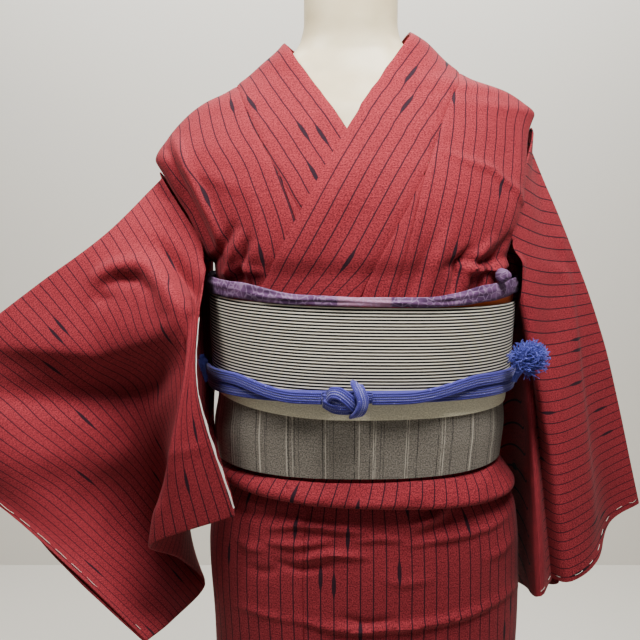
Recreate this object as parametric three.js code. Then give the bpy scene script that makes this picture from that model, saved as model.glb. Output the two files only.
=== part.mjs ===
// A wrapped kimono with its belt set, on a limbless dress form with a pole and a round base.
// Millimetres, +Z up, front towards -Y, +X to the viewer's right (the wearer's left).
// The origin is the centre of the base's underside.
import * as THREE from 'three';

// ---------------------------------------------------------------- driving dimensions
const CLOTH = 1.6;            // wall of the kimono cloth with its lining
const COLLAR_WALL = 3.2;      // the collar is folded double
const BELT_WALL = 2.4;        // belt cloth, folded lengthwise
const EDGE_WALL = 1.2;        // thin linings that show at an edge
const SEAM_GAP = 0.3;         // space kept between sewn neighbours
const LAP_LIFT = 7;           // how far the upper front stands off the one beneath it
const LAP_FROM = 70;          // degrees round from the front where the lift starts
const LAP_FULL = 25;          // degrees round from the front where it is whole
const KEN_SAKI = 3;           // the station where the overlap panel ends in its point
const NAPE = 8;               // the station at the middle of the back of the neck
const STATION_STEPS = 3;      // rows of faces between two stations
const SLEEVE_FOLD_RADIUS = 2.4;

// Half sizes of the dressed upper body at each height: a section is a superellipse of that power.
const BODY = [
  { z: 1000, left: -145, right: 157, front: -116, back: 126, power: 2.3 },
  { z: 1062, left: -146, right: 160, front: -117, back: 126, power: 2.3 },
  { z: 1082, left: -148, right: 161, front: -117, back: 118, power: 2.3 },
  { z: 1096, left: -150, right: 163, front: -117, back: 118, power: 2.3 },
  { z: 1117, left: -164, right: 170, front: -120, back: 121, power: 2.2 },
  { z: 1160, left: -186, right: 181, front: -117, back: 122, power: 2.0 },
  { z: 1197, left: -206, right: 183, front: -108, back: 120, power: 1.8 },
  { z: 1212, left: -213, right: 184, front: -102, back: 118, power: 1.7 },
  { z: 1236, left: -198, right: 185, front: -92, back: 114, power: 1.6 },
  { z: 1260, left: -176, right: 188, front: -80, back: 108, power: 1.5 },
  { z: 1272, left: -159, right: 175, front: -73, back: 104, power: 1.5 },
  { z: 1282, left: -137, right: 158, front: -67, back: 101, power: 1.6 },
  { z: 1295, left: -116, right: 121, front: -60, back: 96, power: 1.7 },
  { z: 1308, left: -100, right: 98, front: -54, back: 91, power: 1.9 },
  { z: 1330, left: -76, right: 74, front: -48, back: 82, power: 2.0 },
  { z: 1345, left: -70, right: 55, front: -44, back: 74, power: 2.0 },
];

// The skirt's outer layer; the layer beneath lies UNDER_LAYER inside it.
const SKIRT = [
  { z: 36, left: -140, right: 160, front: -117, back: 116, power: 2.2 },
  { z: 300, left: -147, right: 170, front: -119, back: 119, power: 2.2 },
  { z: 600, left: -153, right: 180, front: -121, back: 122, power: 2.3 },
  { z: 715, left: -157, right: 184, front: -122, back: 122, power: 2.3 },
  { z: 795, left: -161, right: 183, front: -122, back: 122, power: 2.3 },
  { z: 840, left: -156, right: 178, front: -120, back: 119, power: 2.3 },
  { z: 874, left: -142, right: 160, front: -117, back: 115, power: 2.3 },
  { z: 890, left: -135, right: 151, front: -114, back: 112, power: 2.3 },
  { z: 905, left: -131, right: 145, front: -112, back: 110, power: 2.3 },
  { z: 960, left: -129, right: 142, front: -109, back: 107, power: 2.3 },
];
const UNDER_LAYER = 6;
const SKIRT_TOP = 950;
const HEM = 36;

// Where the skirt's panels meet, in degrees round the wrap: it starts at the upper front's edge,
// crosses the front, goes round the back and passes beneath the upper front.
const WRAP = [
  { name: 'left_overlap_skirt', from: -93, to: -17 },
  { name: 'left_front_skirt', from: -17, to: 97 },
  { name: 'left_back_skirt', from: 97, to: 180 },
  { name: 'right_back_skirt', from: 180, to: 263 },
  { name: 'right_front_skirt', from: 263, to: 372 },
  { name: 'right_overlap_skirt', from: 372, to: 448 },
];

// The belt's outer face.
const BELT = [
  { z: 900, left: -152, right: 161, front: -129, back: 127, power: 2.3 },
  { z: 955, left: -154, right: 166, front: -132, back: 129, power: 2.3 },
  { z: 985, left: -155, right: 167, front: -133, back: 130, power: 2.3 },
  { z: 1076, left: -157, right: 171, front: -132, back: 130, power: 2.3 },
];

// The form under the cloth, from the hip to the neck.
const FORM = [
  { z: 720, left: -108, right: 118, front: -76, back: 80, power: 2.2 },
  { z: 735, left: -124, right: 135, front: -86, back: 92, power: 2.2 },
  { z: 770, left: -132, right: 143, front: -93, back: 98, power: 2.2 },
  { z: 840, left: -132, right: 144, front: -100, back: 101, power: 2.2 },
  { z: 885, left: -122, right: 134, front: -99, back: 99, power: 2.2 },
  { z: 970, left: -121, right: 133, front: -99, back: 98, power: 2.2 },
  { z: 1060, left: -132, right: 144, front: -103, back: 102, power: 2.2 },
  { z: 1150, left: -152, right: 162, front: -106, back: 110, power: 2.1 },
  { z: 1200, left: -160, right: 166, front: -97, back: 110, power: 1.9 },
  { z: 1240, left: -163, right: 168, front: -82, back: 104, power: 1.7 },
  { z: 1260, left: -162, right: 170, front: -75, back: 101, power: 1.6 },
  { z: 1272, left: -149, right: 164, front: -67, back: 95, power: 1.6 },
  { z: 1282, left: -131, right: 149, front: -61, back: 90, power: 1.6 },
  { z: 1295, left: -108, right: 112, front: -53, back: 80, power: 1.7 },
  { z: 1308, left: -88, right: 86, front: -47, back: 70, power: 2.0 },
  { z: 1322, left: -66, right: 58, front: -43, back: 61, power: 2.0 },
  { z: 1336, left: -58, right: 46, front: -42, back: 56, power: 2.0 },
  { z: 1352, left: -55, right: 43, front: -43, back: 54, power: 2.0 },
  { z: 1408, left: -55, right: 43, front: -44, back: 54, power: 2.0 },
  { z: 1416, left: -51, right: 39, front: -40, back: 50, power: 2.0 },
  { z: 1421, left: -40, right: 28, front: -29, back: 39, power: 2.0 },
];

// Seam lines of the upper body. x and z are read on the body's surface, on the named face:
// 'ridge' is the shoulder line itself. Stations run from under the belt up and over to the nape.
const COLLAR_LEFT = [
  { name: 'tail', neck: [-110, 1046], seam: [-9, 1046], face: 'front' },
  { name: 'belt', neck: [-90, 1085], seam: [2, 1083], face: 'front' },
  { name: 'lap', neck: [-55, 1155], seam: [18, 1118], face: 'front' },
  { name: 'ken-saki', neck: [-13, 1234], seam: [59, 1197], face: 'front' },
  { name: 'chest', neck: [14, 1278], seam: [77, 1244], face: 'front' },
  { name: 'neck side', neck: [37, 1315], seam: [91, 1275], face: 'front' },
  { name: 'shoulder', neck: [55, 1344], seam: [104, 1304], face: 'ridge' },
  { name: 'back', neck: [44, 1334], seam: [80, 1284], face: 'back' },
  { name: 'nape', neck: [0, 1322], seam: [0, 1264], face: 'back' },
];
const COLLAR_RIGHT = [
  { name: 'tail', neck: [90, 1046], seam: [2, 1046], face: 'front' },
  { name: 'belt', neck: [70, 1085], seam: [-10, 1083], face: 'front' },
  { name: 'lap', neck: [34, 1157], seam: [-40, 1130], face: 'front' },
  { name: 'ken-saki', neck: [-13, 1236], seam: [-80, 1199], face: 'front' },
  { name: 'chest', neck: [-38, 1274], seam: [-100, 1237], face: 'front' },
  { name: 'neck side', neck: [-59, 1305], seam: [-113, 1264], face: 'front' },
  { name: 'shoulder', neck: [-74, 1332], seam: [-122, 1290], face: 'ridge' },
  { name: 'back', neck: [-58, 1330], seam: [-92, 1278], face: 'back' },
  { name: 'nape', neck: [0, 1322], seam: [0, 1264], face: 'back' },
];
// The body panels' two long edges: towards the middle (overlap seam, then collar seam, then the
// centre back) and towards the armhole. 'middle' is left out where the collar gives it.
const PANEL_LEFT = [
  { name: 'tail', middle: [24, 1046], armhole: [140, 1046], face: 'front' },
  { name: 'belt', middle: [32, 1083], armhole: [144, 1083], face: 'front' },
  { name: 'lap', middle: [44, 1135], armhole: [151, 1122], face: 'front' },
  { name: 'ken-saki', armhole: [163, 1160], face: 'front' },
  { name: 'chest', armhole: [172, 1197], face: 'front' },
  { name: 'neck side', armhole: [178, 1234], face: 'front' },
  { name: 'shoulder', armhole: [188, 1260], face: 'ridge' },
  { name: 'back', armhole: [174, 1210], face: 'back' },
  { name: 'nape', armhole: [163, 1155], face: 'back' },
  { name: 'middle back', middle: [0, 1150], armhole: [150, 1095], face: 'back' },
  { name: 'low back', middle: [0, 1046], armhole: [140, 1046], face: 'back' },
];
const PANEL_RIGHT = [
  { name: 'tail', middle: [-45, 1046], armhole: [-129, 1046], face: 'front' },
  { name: 'belt', middle: [-50, 1083], armhole: [-139, 1080], face: 'front' },
  { name: 'lap', middle: [-60, 1144], armhole: [-153, 1105], face: 'front' },
  { name: 'ken-saki', armhole: [-170, 1146], face: 'front' },
  { name: 'chest', armhole: [-184, 1168], face: 'front' },
  { name: 'neck side', armhole: [-199, 1192], face: 'front' },
  { name: 'shoulder', armhole: [-213, 1212], face: 'ridge' },
  { name: 'back', armhole: [-194, 1180], face: 'back' },
  { name: 'nape', armhole: [-172, 1140], face: 'back' },
  { name: 'middle back', middle: [0, 1150], armhole: [-152, 1095], face: 'back' },
  { name: 'low back', middle: [0, 1046], armhole: [-129, 1046], face: 'back' },
];

// Sleeves: each row is one line of the front layer from the top fold to the bottom seam. Rows run
// from the armhole to the cuff, with a row at each deep fold.
const SLEEVE_RIGHT = [
  { name: 'armhole', fold: [-201, 6, 1200], upper: [-154, -51, 1122], middle: [-156, -92, 1062],
    lower: [-155, -115, 980], seam: [-123, -106, 859] },
  { name: 'front pleat', fold: [-259, -36, 1135], upper: [-194, -80, 1080],
    middle: [-174, -112, 1008], lower: [-186, -120, 926], seam: [-206, -110, 831] },
  { name: 'pleat depth', fold: [-324, -48, 1086], upper: [-262, -56, 1020],
    middle: [-222, -50, 950], lower: [-202, -36, 866], seam: [-193, -28, 778] },
  { name: 'back pleat', fold: [-392, -50, 1035], upper: [-328, -62, 962],
    middle: [-272, -44, 888], lower: [-220, 6, 802], seam: [-178, 44, 712] },
  { name: 'hand', fold: [-460, -46, 986], upper: [-388, -74, 922],
    middle: [-326, -72, 864], lower: [-262, -54, 792], seam: [-202, -36, 710] },
  { name: 'cuff', fold: [-527, -40, 938], upper: [-444, -62, 900],
    middle: [-372, -76, 860], lower: [-305, -86, 802], seam: [-219, -92, 717] },
];
const SLEEVE_LEFT = [
  { name: 'armhole', fold: [178, 6, 1247], near: [168, -33, 1200], crest: [155, -58, 1154],
    face: [154, -60, 1120], valley: [179, -17, 1099], ridge: [181, -4, 1066],
    flank: [179, 14, 1028], side: [174, 37, 960], rear: [171, 60, 880], seam: [168, 82, 800] },
  { name: 'middle', fold: [267, 3, 1039], near: [239, -22, 1008], crest: [212, -58, 972],
    face: [192, -72, 949], valley: [194, -42, 935], ridge: [186, -50, 915],
    flank: [189, -6, 885], side: [188, 49, 836], rear: [177, 95, 784], seam: [148, 125, 731] },
  { name: 'cuff', fold: [323, 0, 831], near: [286, -12, 815], crest: [257, -58, 791],
    face: [222, -80, 778], valley: [207, -62, 772], ridge: [188, -90, 765],
    flank: [196, -26, 742], side: [199, 60, 712], rear: [180, 130, 688], seam: [124, 168, 662] },
];
// Where the back layer hangs, measured across and back from the front layer at the same place.
const HANG_RIGHT = [
  { name: 'armhole', fold: [0, 0], upper: [-5, 96], middle: [-8, 124], lower: [-8, 132],
    seam: [0, 0] },
  { name: 'front pleat', fold: [0, 0], upper: [-6, 96], middle: [-14, 84], lower: [6, 16],
    seam: [0, 0] },
  { name: 'pleat depth', fold: [0, 0], upper: [4, 62], middle: [8, 34], lower: [16, 4],
    seam: [0, 0] },
  { name: 'back pleat', fold: [0, 0], upper: [0, 44], middle: [0, 34], lower: [2, 18],
    seam: [0, 0] },
  { name: 'hand', fold: [0, 0], upper: [0, 36], middle: [0, 38], lower: [-6, 20],
    seam: [0, 0] },
  { name: 'cuff', fold: [0, 0], upper: [0, 30], middle: [0, 18], lower: [-1, 1],
    seam: [0, 0] },
];
const HANG_LEFT = [
  { name: 'armhole', fold: [0, 0], near: [0, 68], crest: [2, 116], face: [8, 112], valley: [4, 52],
    ridge: [5, 40], flank: [6, 34], side: [6, 26], rear: [4, 14], seam: [0, 0] },
  { name: 'middle', fold: [0, 0], near: [2, 47], crest: [4, 87], face: [9, 87], valley: [12, 47],
    ridge: [16, 36], flank: [12, 23], side: [10, 15], rear: [6, 11], seam: [0, 0] },
  { name: 'cuff', fold: [0, 0], near: [4, 26], crest: [6, 58], face: [10, 62], valley: [20, 42],
    ridge: [28, 32], flank: [18, 12], side: [15, 4], rear: [8, 8], seam: [0, 0] },
];
// The sleeves' cloth stays outside these sections: the body, sash, belt, tuck and skirt beside it.
const SLEEVE_CLEAR = [
  { z: 640, left: -160, right: 186, front: -126, back: 126, power: 2.3 },
  { z: 795, left: -165, right: 188, front: -126, back: 126, power: 2.3 },
  { z: 840, left: -162, right: 185, front: -128, back: 128, power: 2.3 },
  { z: 870, left: -156, right: 180, front: -136, back: 133, power: 2.3 },
  { z: 900, left: -153, right: 175, front: -137, back: 132, power: 2.3 },
  { z: 955, left: -156, right: 171, front: -137, back: 134, power: 2.3 },
  { z: 1060, left: -161, right: 176, front: -137, back: 135, power: 2.3 },
  { z: 1076, left: -165, right: 180, front: -142, back: 142, power: 2.3 },
  { z: 1106, left: -168, right: 181, front: -142, back: 150, power: 2.3 },
  { z: 1122, left: -170, right: 175, front: -130, back: 140, power: 2.2 },
  { z: 1160, left: -188, right: 184, front: -119, back: 125, power: 2.0 },
  { z: 1197, left: -209, right: 186, front: -111, back: 123, power: 1.8 },
  { z: 1212, left: -216, right: 187, front: -105, back: 121, power: 1.7 },
  { z: 1236, left: -201, right: 188, front: -95, back: 117, power: 1.6 },
  { z: 1260, left: -179, right: 191, front: -83, back: 111, power: 1.5 },
];
const LINING_GAP = 0.85;
const LINING_SHOWS = 4;       // width of lining that shows at the open inner sleeve edge
const LINING_RANGE = { right: [0.53, 0.985], left: [0.58, 0.74] };   // shares of the way down

// Belt set
const BELT_OUT = { upper: -1.3, orange: -3.4, middle: -4.1, lower: -6.9 };   // middle of each wall
const BELT_TOP = 1072;
const BELT_UPPER_BOTTOM = 982;
const BELT_LOWER_TOP = 1040;
const BELT_LOWER_BOTTOM = 902;
const TUCK_BOTTOM = 875;      // lower fold of the waist tuck
const TUCK_TILT = 8;          // it hangs this much higher on the wearer's right
const BELT_TOP_DIP = 2;       // the top edge is this much lower at the middle of the front
const BELT_TOP_TILT = 4;      // and this much lower on the wearer's left
const CREAM_TOP = 1030;
const CREAM_BOTTOM = 962;
const CREAM_TILT = 12;
const ORANGE_FROM = 20;       // degrees round from the front where the orange edge starts to show
const ORANGE_TO = 90;
const ORANGE_RISE = 7;
const ORANGE_HIDDEN = 14;     // how far it runs down inside the wrap
const ORANGE_FADE_IN = 50;    // degrees over which it rises, and sinks again
const ORANGE_FADE_OUT = 22;
const CORD_HEIGHT = 980;
const CORD_RISE = 6;          // the cord stands this much higher at the middle of the front
const CORD_WIDTH = 12;
const CORD_THICK = 5;
const SASH_GAP = 0.5;
const SASH_OUT = -0.3;
const SASH_BACK = 1122;       // and over the bow's pillow
const SASH_HALF_HIGH = 8.5;
const SASH_HALF_FRONT = 4.5;
const SASH_KNOT = [139, -92.3, 1095.9];
const SASH_KNOT_HALF = [8, 7, 8];
const SASH_HALF_THICK = 4;
const SASH_OVER_BOW = 38.5;
const SASH_LEAVES = 0.35;     // how far round to the back the sash starts to rise over the bow
const SASH_RISE_RATE = 3.4;   // and how fast
const SASH_FLAT_FROM = 0.72;  // cosine of the angle where it begins to be flat
const CORD_OVER_BOW = 78.5;
const CORD_ON_BOW = 62;       // degrees from the middle of the back that the bow holds it out
const CORD_LEAVES_BOW = 22;
const CORD_SEAT = 0.4;        // space between the cord and the belt
const BOW_CENTRE = 6;
const BOW_ROUND = 34;         // the bow's sides lie this much nearer to the body than its middle
const DRUM_HALF = 148;
const TAIL_HALF = 144;
// The drum's and the tail's profile seen from the side: distance behind the axis, height.
const DRUM_PATH = [
  [134, 1082], [146, 1104], [166, 1112], [190, 1102], [203, 1060], [207, 1000], [204, 940],
  [192, 892], [172, 880], [156, 892], [152, 930], [150, 975],
];
const TAIL_PATH = [[147.8, 960], [148.8, 905], [149, 865], [151, 832], [153, 800]];
const CORD_KNOT = [-12.5, -146.3, 986];
const CORD_KNOT_HALF = [19, 8, 15];
const TASSEL_SHAPE = [[0, 0.28], [0.12, 0.5], [0.22, 0.42], [0.5, 0.8], [0.85, 1], [1, 0.86]];
const TASSEL_FLATNESS = 0.6;
const TASSEL_LEFT = { neck: [157, -86, 993], tips: [170, -100, 1038], radius: 23, flat: [0.8, -0.6, 0] };
const TASSEL_RIGHT = { neck: [-162.5, -14, 976], tips: [-166, -14, 1008], radius: 10, flat: [-1, 0, 0] };
const POLE_RADIUS = 14;
const BASE_RADIUS = 150;
const BASE_THICK = 12;

// ---------------------------------------------------------------- small maths
const rad = (degrees) => degrees * Math.PI / 180;
const mix = (a, b, t) => a + (b - a) * t;
const clamp01 = (t) => Math.min(1, Math.max(0, t));
const ease = (t) => clamp01(t) ** 2 * (3 - 2 * clamp01(t));
const mixPoint = (a, b, t) => a.map((value, i) => mix(value, b[i], t));

// Catmull-Rom through a list of points, at a real-valued index.
function through(points, at) {
  const last = points.length - 1;
  const i = Math.min(last - 1, Math.max(0, Math.floor(at)));
  const t = at - i;
  const p1 = points[i];
  const p2 = points[i + 1];
  const p0 = i > 0 ? points[i - 1] : p1.map((value, k) => 2 * value - p2[k]);
  const p3 = i + 2 <= last ? points[i + 2] : p2.map((value, k) => 2 * value - p1[k]);
  return p1.map((value, k) => value + 0.5 * t * (p2[k] - p0[k]
    + t * (2 * p0[k] - 5 * value + 4 * p2[k] - p3[k]
    + t * (3 * value - p0[k] - 3 * p2[k] + p3[k]))));
}

// A table's columns at a height, by a cubic that never overshoots a row.
function rowAt(table, z) {
  const last = table.length - 1;
  const high = Math.min(last, Math.max(1, table.findIndex((row) => row.z >= z) < 0
    ? last : table.findIndex((row) => row.z >= z)));
  const low = high - 1;
  const span = table[high].z - table[low].z;
  const t = clamp01((z - table[low].z) / span);
  const slope = (i, key) => {
    if (i === 0 || i === last) return 0;
    const before = (table[i][key] - table[i - 1][key]) / (table[i].z - table[i - 1].z);
    const after = (table[i + 1][key] - table[i][key]) / (table[i + 1].z - table[i].z);
    return before * after <= 0 ? 0 : 2 * before * after / (before + after);
  };
  const row = {};
  for (const key of Object.keys(table[0])) {
    row[key] = key === 'z' ? z
      : table[low][key] * (1 + 2 * t) * (1 - t) ** 2 + table[high][key] * t * t * (3 - 2 * t)
      + span * (slope(low, key) * t * (1 - t) ** 2 + slope(high, key) * t * t * (t - 1));
  }
  return row;
}

// A point on a table's surface. Angle 0 is the middle of the front, 90 the viewer's right.
function onSection(table, angle, z, out = 0) {
  const row = rowAt(table, z);
  const s = Math.sin(rad(angle));
  const c = Math.cos(rad(angle));
  const across = (s >= 0 ? row.right : -row.left) + out;
  const deep = (c >= 0 ? -row.front : row.back) + out;
  const k = 2 / row.power;
  return [Math.sign(s) * Math.abs(s) ** k * across, -Math.sign(c) * Math.abs(c) ** k * deep, z];
}

// The angle of a seam point that is given by its x, its z, its face and its side of the body.
function angleOf(table, [x, z], face, side) {
  if (face === 'ridge') return 90 * side;
  const row = rowAt(table, z);
  const half = x < 0 || (x === 0 && side < 0) ? -row.left : row.right;
  const angle = Math.asin(clamp01((Math.abs(x) / half) ** (row.power / 2))) * 180 / Math.PI;
  return (x === 0 ? side : Math.sign(x)) * (face === 'front' ? angle : 180 - angle);
}

// Moves a point level and straight out until it lies on a table's surface, if it is inside it.
function standOff(table, [x, y, z]) {
  const row = rowAt(table, z);
  const across = Math.abs(x) / (x > 0 ? row.right : -row.left);
  const deep = Math.abs(y) / (y > 0 ? row.back : -row.front);
  const size = Math.min(1, (across ** row.power + deep ** row.power) ** (1 / row.power));
  return [x / size, y / size, z];
}

// ---------------------------------------------------------------- solids
function solid(points, faces) {
  const geometry = new THREE.BufferGeometry();
  geometry.setAttribute('position', new THREE.Float32BufferAttribute(points.flat(), 3));
  let volume = 0;
  for (const [a, b, c] of faces) {
    const [p, q, r] = [points[a], points[b], points[c]];
    volume += p[0] * (q[1] * r[2] - q[2] * r[1]) + p[1] * (q[2] * r[0] - q[0] * r[2])
      + p[2] * (q[0] * r[1] - q[1] * r[0]);
  }
  geometry.setIndex(volume > 0 ? faces.flat() : faces.map(([a, b, c]) => [a, c, b]).flat());
  geometry.computeVertexNormals();
  return geometry;
}

// A wall of cloth on the surface place(i, j), i over `across` steps and j over `along` steps.
// With `round` the j direction closes on itself.
function wall(place, across, along, thick, round = false) {
  const columns = round ? along : along + 1;
  const at = (i, j) => i * columns + (round ? (j + along) % along : j);
  const middle = [];
  for (let i = 0; i <= across; i += 1) {
    for (let j = 0; j < columns; j += 1) middle.push(new THREE.Vector3(...place(i, j)));
  }
  const outer = [];
  const inner = [];
  for (let i = 0; i <= across; i += 1) {
    for (let j = 0; j < columns; j += 1) {
      const before = round ? j - 1 : Math.max(0, j - 1);
      const after = round ? j + 1 : Math.min(along, j + 1);
      const du = middle[at(Math.min(across, i + 1), j)].clone().sub(middle[at(Math.max(0, i - 1), j)]);
      const dv = middle[at(i, after)].clone().sub(middle[at(i, before)]);
      const out = du.cross(dv).setLength(thick / 2);
      outer.push(middle[at(i, j)].clone().add(out).toArray());
      inner.push(middle[at(i, j)].clone().sub(out).toArray());
    }
  }
  const under = outer.length;
  const faces = [];
  const quad = (a, b, c, d) => faces.push([a, b, c], [a, c, d]);
  for (let i = 0; i < across; i += 1) {
    for (let j = 0; j < along; j += 1) {
      quad(at(i, j), at(i + 1, j), at(i + 1, j + 1), at(i, j + 1));
      quad(under + at(i, j), under + at(i, j + 1), under + at(i + 1, j + 1), under + at(i + 1, j));
    }
  }
  for (let j = 0; j < along; j += 1) {
    quad(at(0, j), at(0, j + 1), under + at(0, j + 1), under + at(0, j));
    quad(at(across, j + 1), at(across, j), under + at(across, j), under + at(across, j + 1));
  }
  for (let i = 0; i < across && !round; i += 1) {
    quad(at(i + 1, 0), at(i, 0), under + at(i, 0), under + at(i + 1, 0));
    quad(at(i, along), at(i + 1, along), under + at(i + 1, along), under + at(i, along));
  }
  return solid([...outer, ...inner], faces);
}

// A filled body through rings of equal point counts, closed at both ends or joined in a loop.
function loft(rings, loop = false) {
  const count = rings[0].length;
  const points = rings.flat();
  const faces = [];
  const last = loop ? rings.length : rings.length - 1;
  for (let i = 0; i < last; i += 1) {
    const next = (i + 1) % rings.length;
    for (let j = 0; j < count; j += 1) {
      const k = (j + 1) % count;
      faces.push([i * count + j, i * count + k, next * count + k]);
      faces.push([i * count + j, next * count + k, next * count + j]);
    }
  }
  if (!loop) {
    const end = (rings.length - 1) * count;
    for (let j = 1; j < count - 1; j += 1) {
      faces.push([0, j + 1, j]);
      faces.push([end, end + j, end + j + 1]);
    }
  }
  return solid(points, faces);
}

// An oval ring of a braid or roll: `up` and `out` are its two axes at the point.
function ovalRing(point, up, out, halfHigh, halfThick, sides) {
  return Array.from({ length: sides }, (_, i) => {
    const turn = 2 * Math.PI * (i + 0.5) / sides;
    return point.map((value, k) => value + up[k] * halfHigh * Math.sin(turn)
      + out[k] * halfThick * Math.cos(turn));
  });
}

// A braid or roll along `points`: its thin way points away from the body's axis.
function braid(points, halfHigh, halfThick, sides, loop = false) {
  const high = (i) => (Array.isArray(halfHigh) ? halfHigh[i] : halfHigh);
  const count = points.length;
  const rings = points.map((point, i) => {
    const before = points[loop ? (i + count - 1) % count : Math.max(0, i - 1)];
    const after = points[loop ? (i + 1) % count : Math.min(count - 1, i + 1)];
    const run = new THREE.Vector3(...after).sub(new THREE.Vector3(...before)).normalize();
    const out = run.clone().cross(new THREE.Vector3(0, 0, 1)).normalize();
    const up = out.clone().cross(run).normalize();
    return ovalRing(point, up.toArray(), out.toArray(), high(i), halfThick, sides);
  });
  return loft(rings, loop);
}

// ---------------------------------------------------------------- materials
const finish = (colour, roughness, metalness = 0) =>
  new THREE.MeshStandardMaterial({ color: colour, roughness, metalness, side: THREE.DoubleSide });
const finishes = {
  silk: finish(0xb0343a, 0.8),
  lining: finish(0xe9e4da, 0.8),
  beltStripe: finish(0x8d857b, 0.75),
  beltCream: finish(0xc6ba92, 0.75),
  beltGrey: finish(0x706964, 0.8),
  beltOrange: finish(0xeb6e3c, 0.7),
  sash: finish(0x70527a, 0.7),
  cord: finish(0x4848af, 0.65),
  form: finish(0xcdc3a5, 0.5),
  pole: finish(0xb9bcc0, 0.3, 1),
  base: finish(0x33312f, 0.5),
};

const kimono = new THREE.Group();
function add(name, geometry, material) {
  const mesh = new THREE.Mesh(geometry, material);
  mesh.name = name;
  kimono.add(mesh);
}

// ---------------------------------------------------------------- upper body
// An edge as [angle, height] at a station. Straight up to the ken-saki, then one smooth curve.
function edgeLine(rows, key, side) {
  const points = rows.map((row) => [angleOf(BODY, row[key], row.face, side), row[key][1]]);
  return (station) => (station <= KEN_SAKI || points.length <= KEN_SAKI + 1
    ? mixPoint(points[Math.min(points.length - 2, Math.floor(station))],
      points[Math.min(points.length - 2, Math.floor(station)) + 1],
      station - Math.min(points.length - 2, Math.floor(station)))
    : through(points.slice(KEN_SAKI), station - KEN_SAKI));
}

const liftOf = (angle) => LAP_LIFT * ease((LAP_FROM - angle) / (LAP_FROM - LAP_FULL));

function sideOf(collar, panel, side, lap) {
  const seam = edgeLine(collar, 'seam', side);
  const neck = edgeLine(collar, 'neck', side);
  const armhole = edgeLine(panel, 'armhole', side);
  const point = { middle: collar[KEN_SAKI].seam, face: 'front' };
  const overlap = edgeLine([...panel.slice(0, KEN_SAKI), point], 'middle', side);
  const backRows = [collar[NAPE].seam, ...panel.slice(NAPE + 1).map((row) => row.middle)];
  const back = backRows.map(([, z]) => [180 * side, z]);
  const middle = (station) => {
    if (station < KEN_SAKI) return overlap(station);
    if (station <= NAPE) return seam(station);
    const i = Math.min(back.length - 2, Math.floor(station - NAPE));
    return mixPoint(back[i], back[i + 1], station - NAPE - i);
  };
  const place = (a, b, u) => {
    const [angle, z] = mixPoint(a, b, u);
    return onSection(BODY, angle, z, lap ? liftOf(angle) : 0);
  };
  return { side, seam, neck, armhole, overlap, middle, place };
}

const left = sideOf(COLLAR_LEFT, PANEL_LEFT, 1, true);
const right = sideOf(COLLAR_RIGHT, PANEL_RIGHT, -1, false);

// A strip between two edges, kept half a seam gap inside each.
// Each strip keeps a little more than half the seam gap to its edges.
const INSET_SHARE = 0.65;
const INSET_MOST = 0.2;
function strip(side, inside, outside, from, to, across, thick) {
  const steps = Math.round((to - from) * STATION_STEPS);
  const place = (i, j) => {
    const station = mix(from, to, j / steps);
    const a = inside(station);
    const b = outside(station);
    const wide = new THREE.Vector3(...side.place(a, b, 0))
      .distanceTo(new THREE.Vector3(...side.place(a, b, 1)));
    const inset = Math.min(INSET_MOST, INSET_SHARE * SEAM_GAP / wide);
    const [x, y, z] = side.place(a, b, mix(inset, 1 - inset, i / across));
    const onCentreSeam = i === 0 && station >= NAPE;
    const out = onCentreSeam ? Math.max(side.side * x, SEAM_GAP) : side.side * x;
    return [side.side * out, y, z];
  };
  return wall(place, across, steps, thick);
}

const PANEL_END = PANEL_LEFT.length - 1;
add('left_body', strip(left, left.middle, left.armhole, 0, PANEL_END, 5, CLOTH), finishes.silk);
add('right_body', strip(right, right.middle, right.armhole, 0, PANEL_END, 5, CLOTH), finishes.silk);
add('left_overlap', strip(left, left.seam, left.overlap, 0, 8 / 3, 2, CLOTH), finishes.silk);
add('right_overlap', strip(right, right.seam, right.overlap, 0, 8 / 3, 2, CLOTH), finishes.silk);

function collar() {
  const across = 3;
  const half = NAPE * STATION_STEPS;
  const place = (i, j) => {
    const side = j <= half ? left : right;
    const station = (j <= half ? j : 2 * half - j) / STATION_STEPS;
    const inset = SEAM_GAP / 45;
    return side.place(side.neck(station), side.seam(station), mix(0, 1 - inset, i / across));
  };
  return wall(place, across, 2 * half, COLLAR_WALL);
}
add('collar', collar(), finishes.silk);

// ---------------------------------------------------------------- skirt and waist tuck
const SKIRT_ROWS = [HEM, 300, 600, 715, 795, 840, 874, 890, 905, SKIRT_TOP];
const SKIRT_COLUMN = 14;      // degrees that one column of faces spans, about

function skirtPlace(turn, z) {
  const inwards = UNDER_LAYER * clamp01((turn - 90) / 170);
  return onSection(SKIRT, turn, z, -inwards);
}

for (const { name, from, to } of WRAP) {
  const across = Math.round((to - from) / SKIRT_COLUMN);
  const inset = 0.12;         // degrees: half a seam gap
  const place = (i, j) => skirtPlace(mix(from + inset, to - inset, i / across), SKIRT_ROWS[j]);
  add(name, wall(place, across, SKIRT_ROWS.length - 1, CLOTH), finishes.silk);
}

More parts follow.
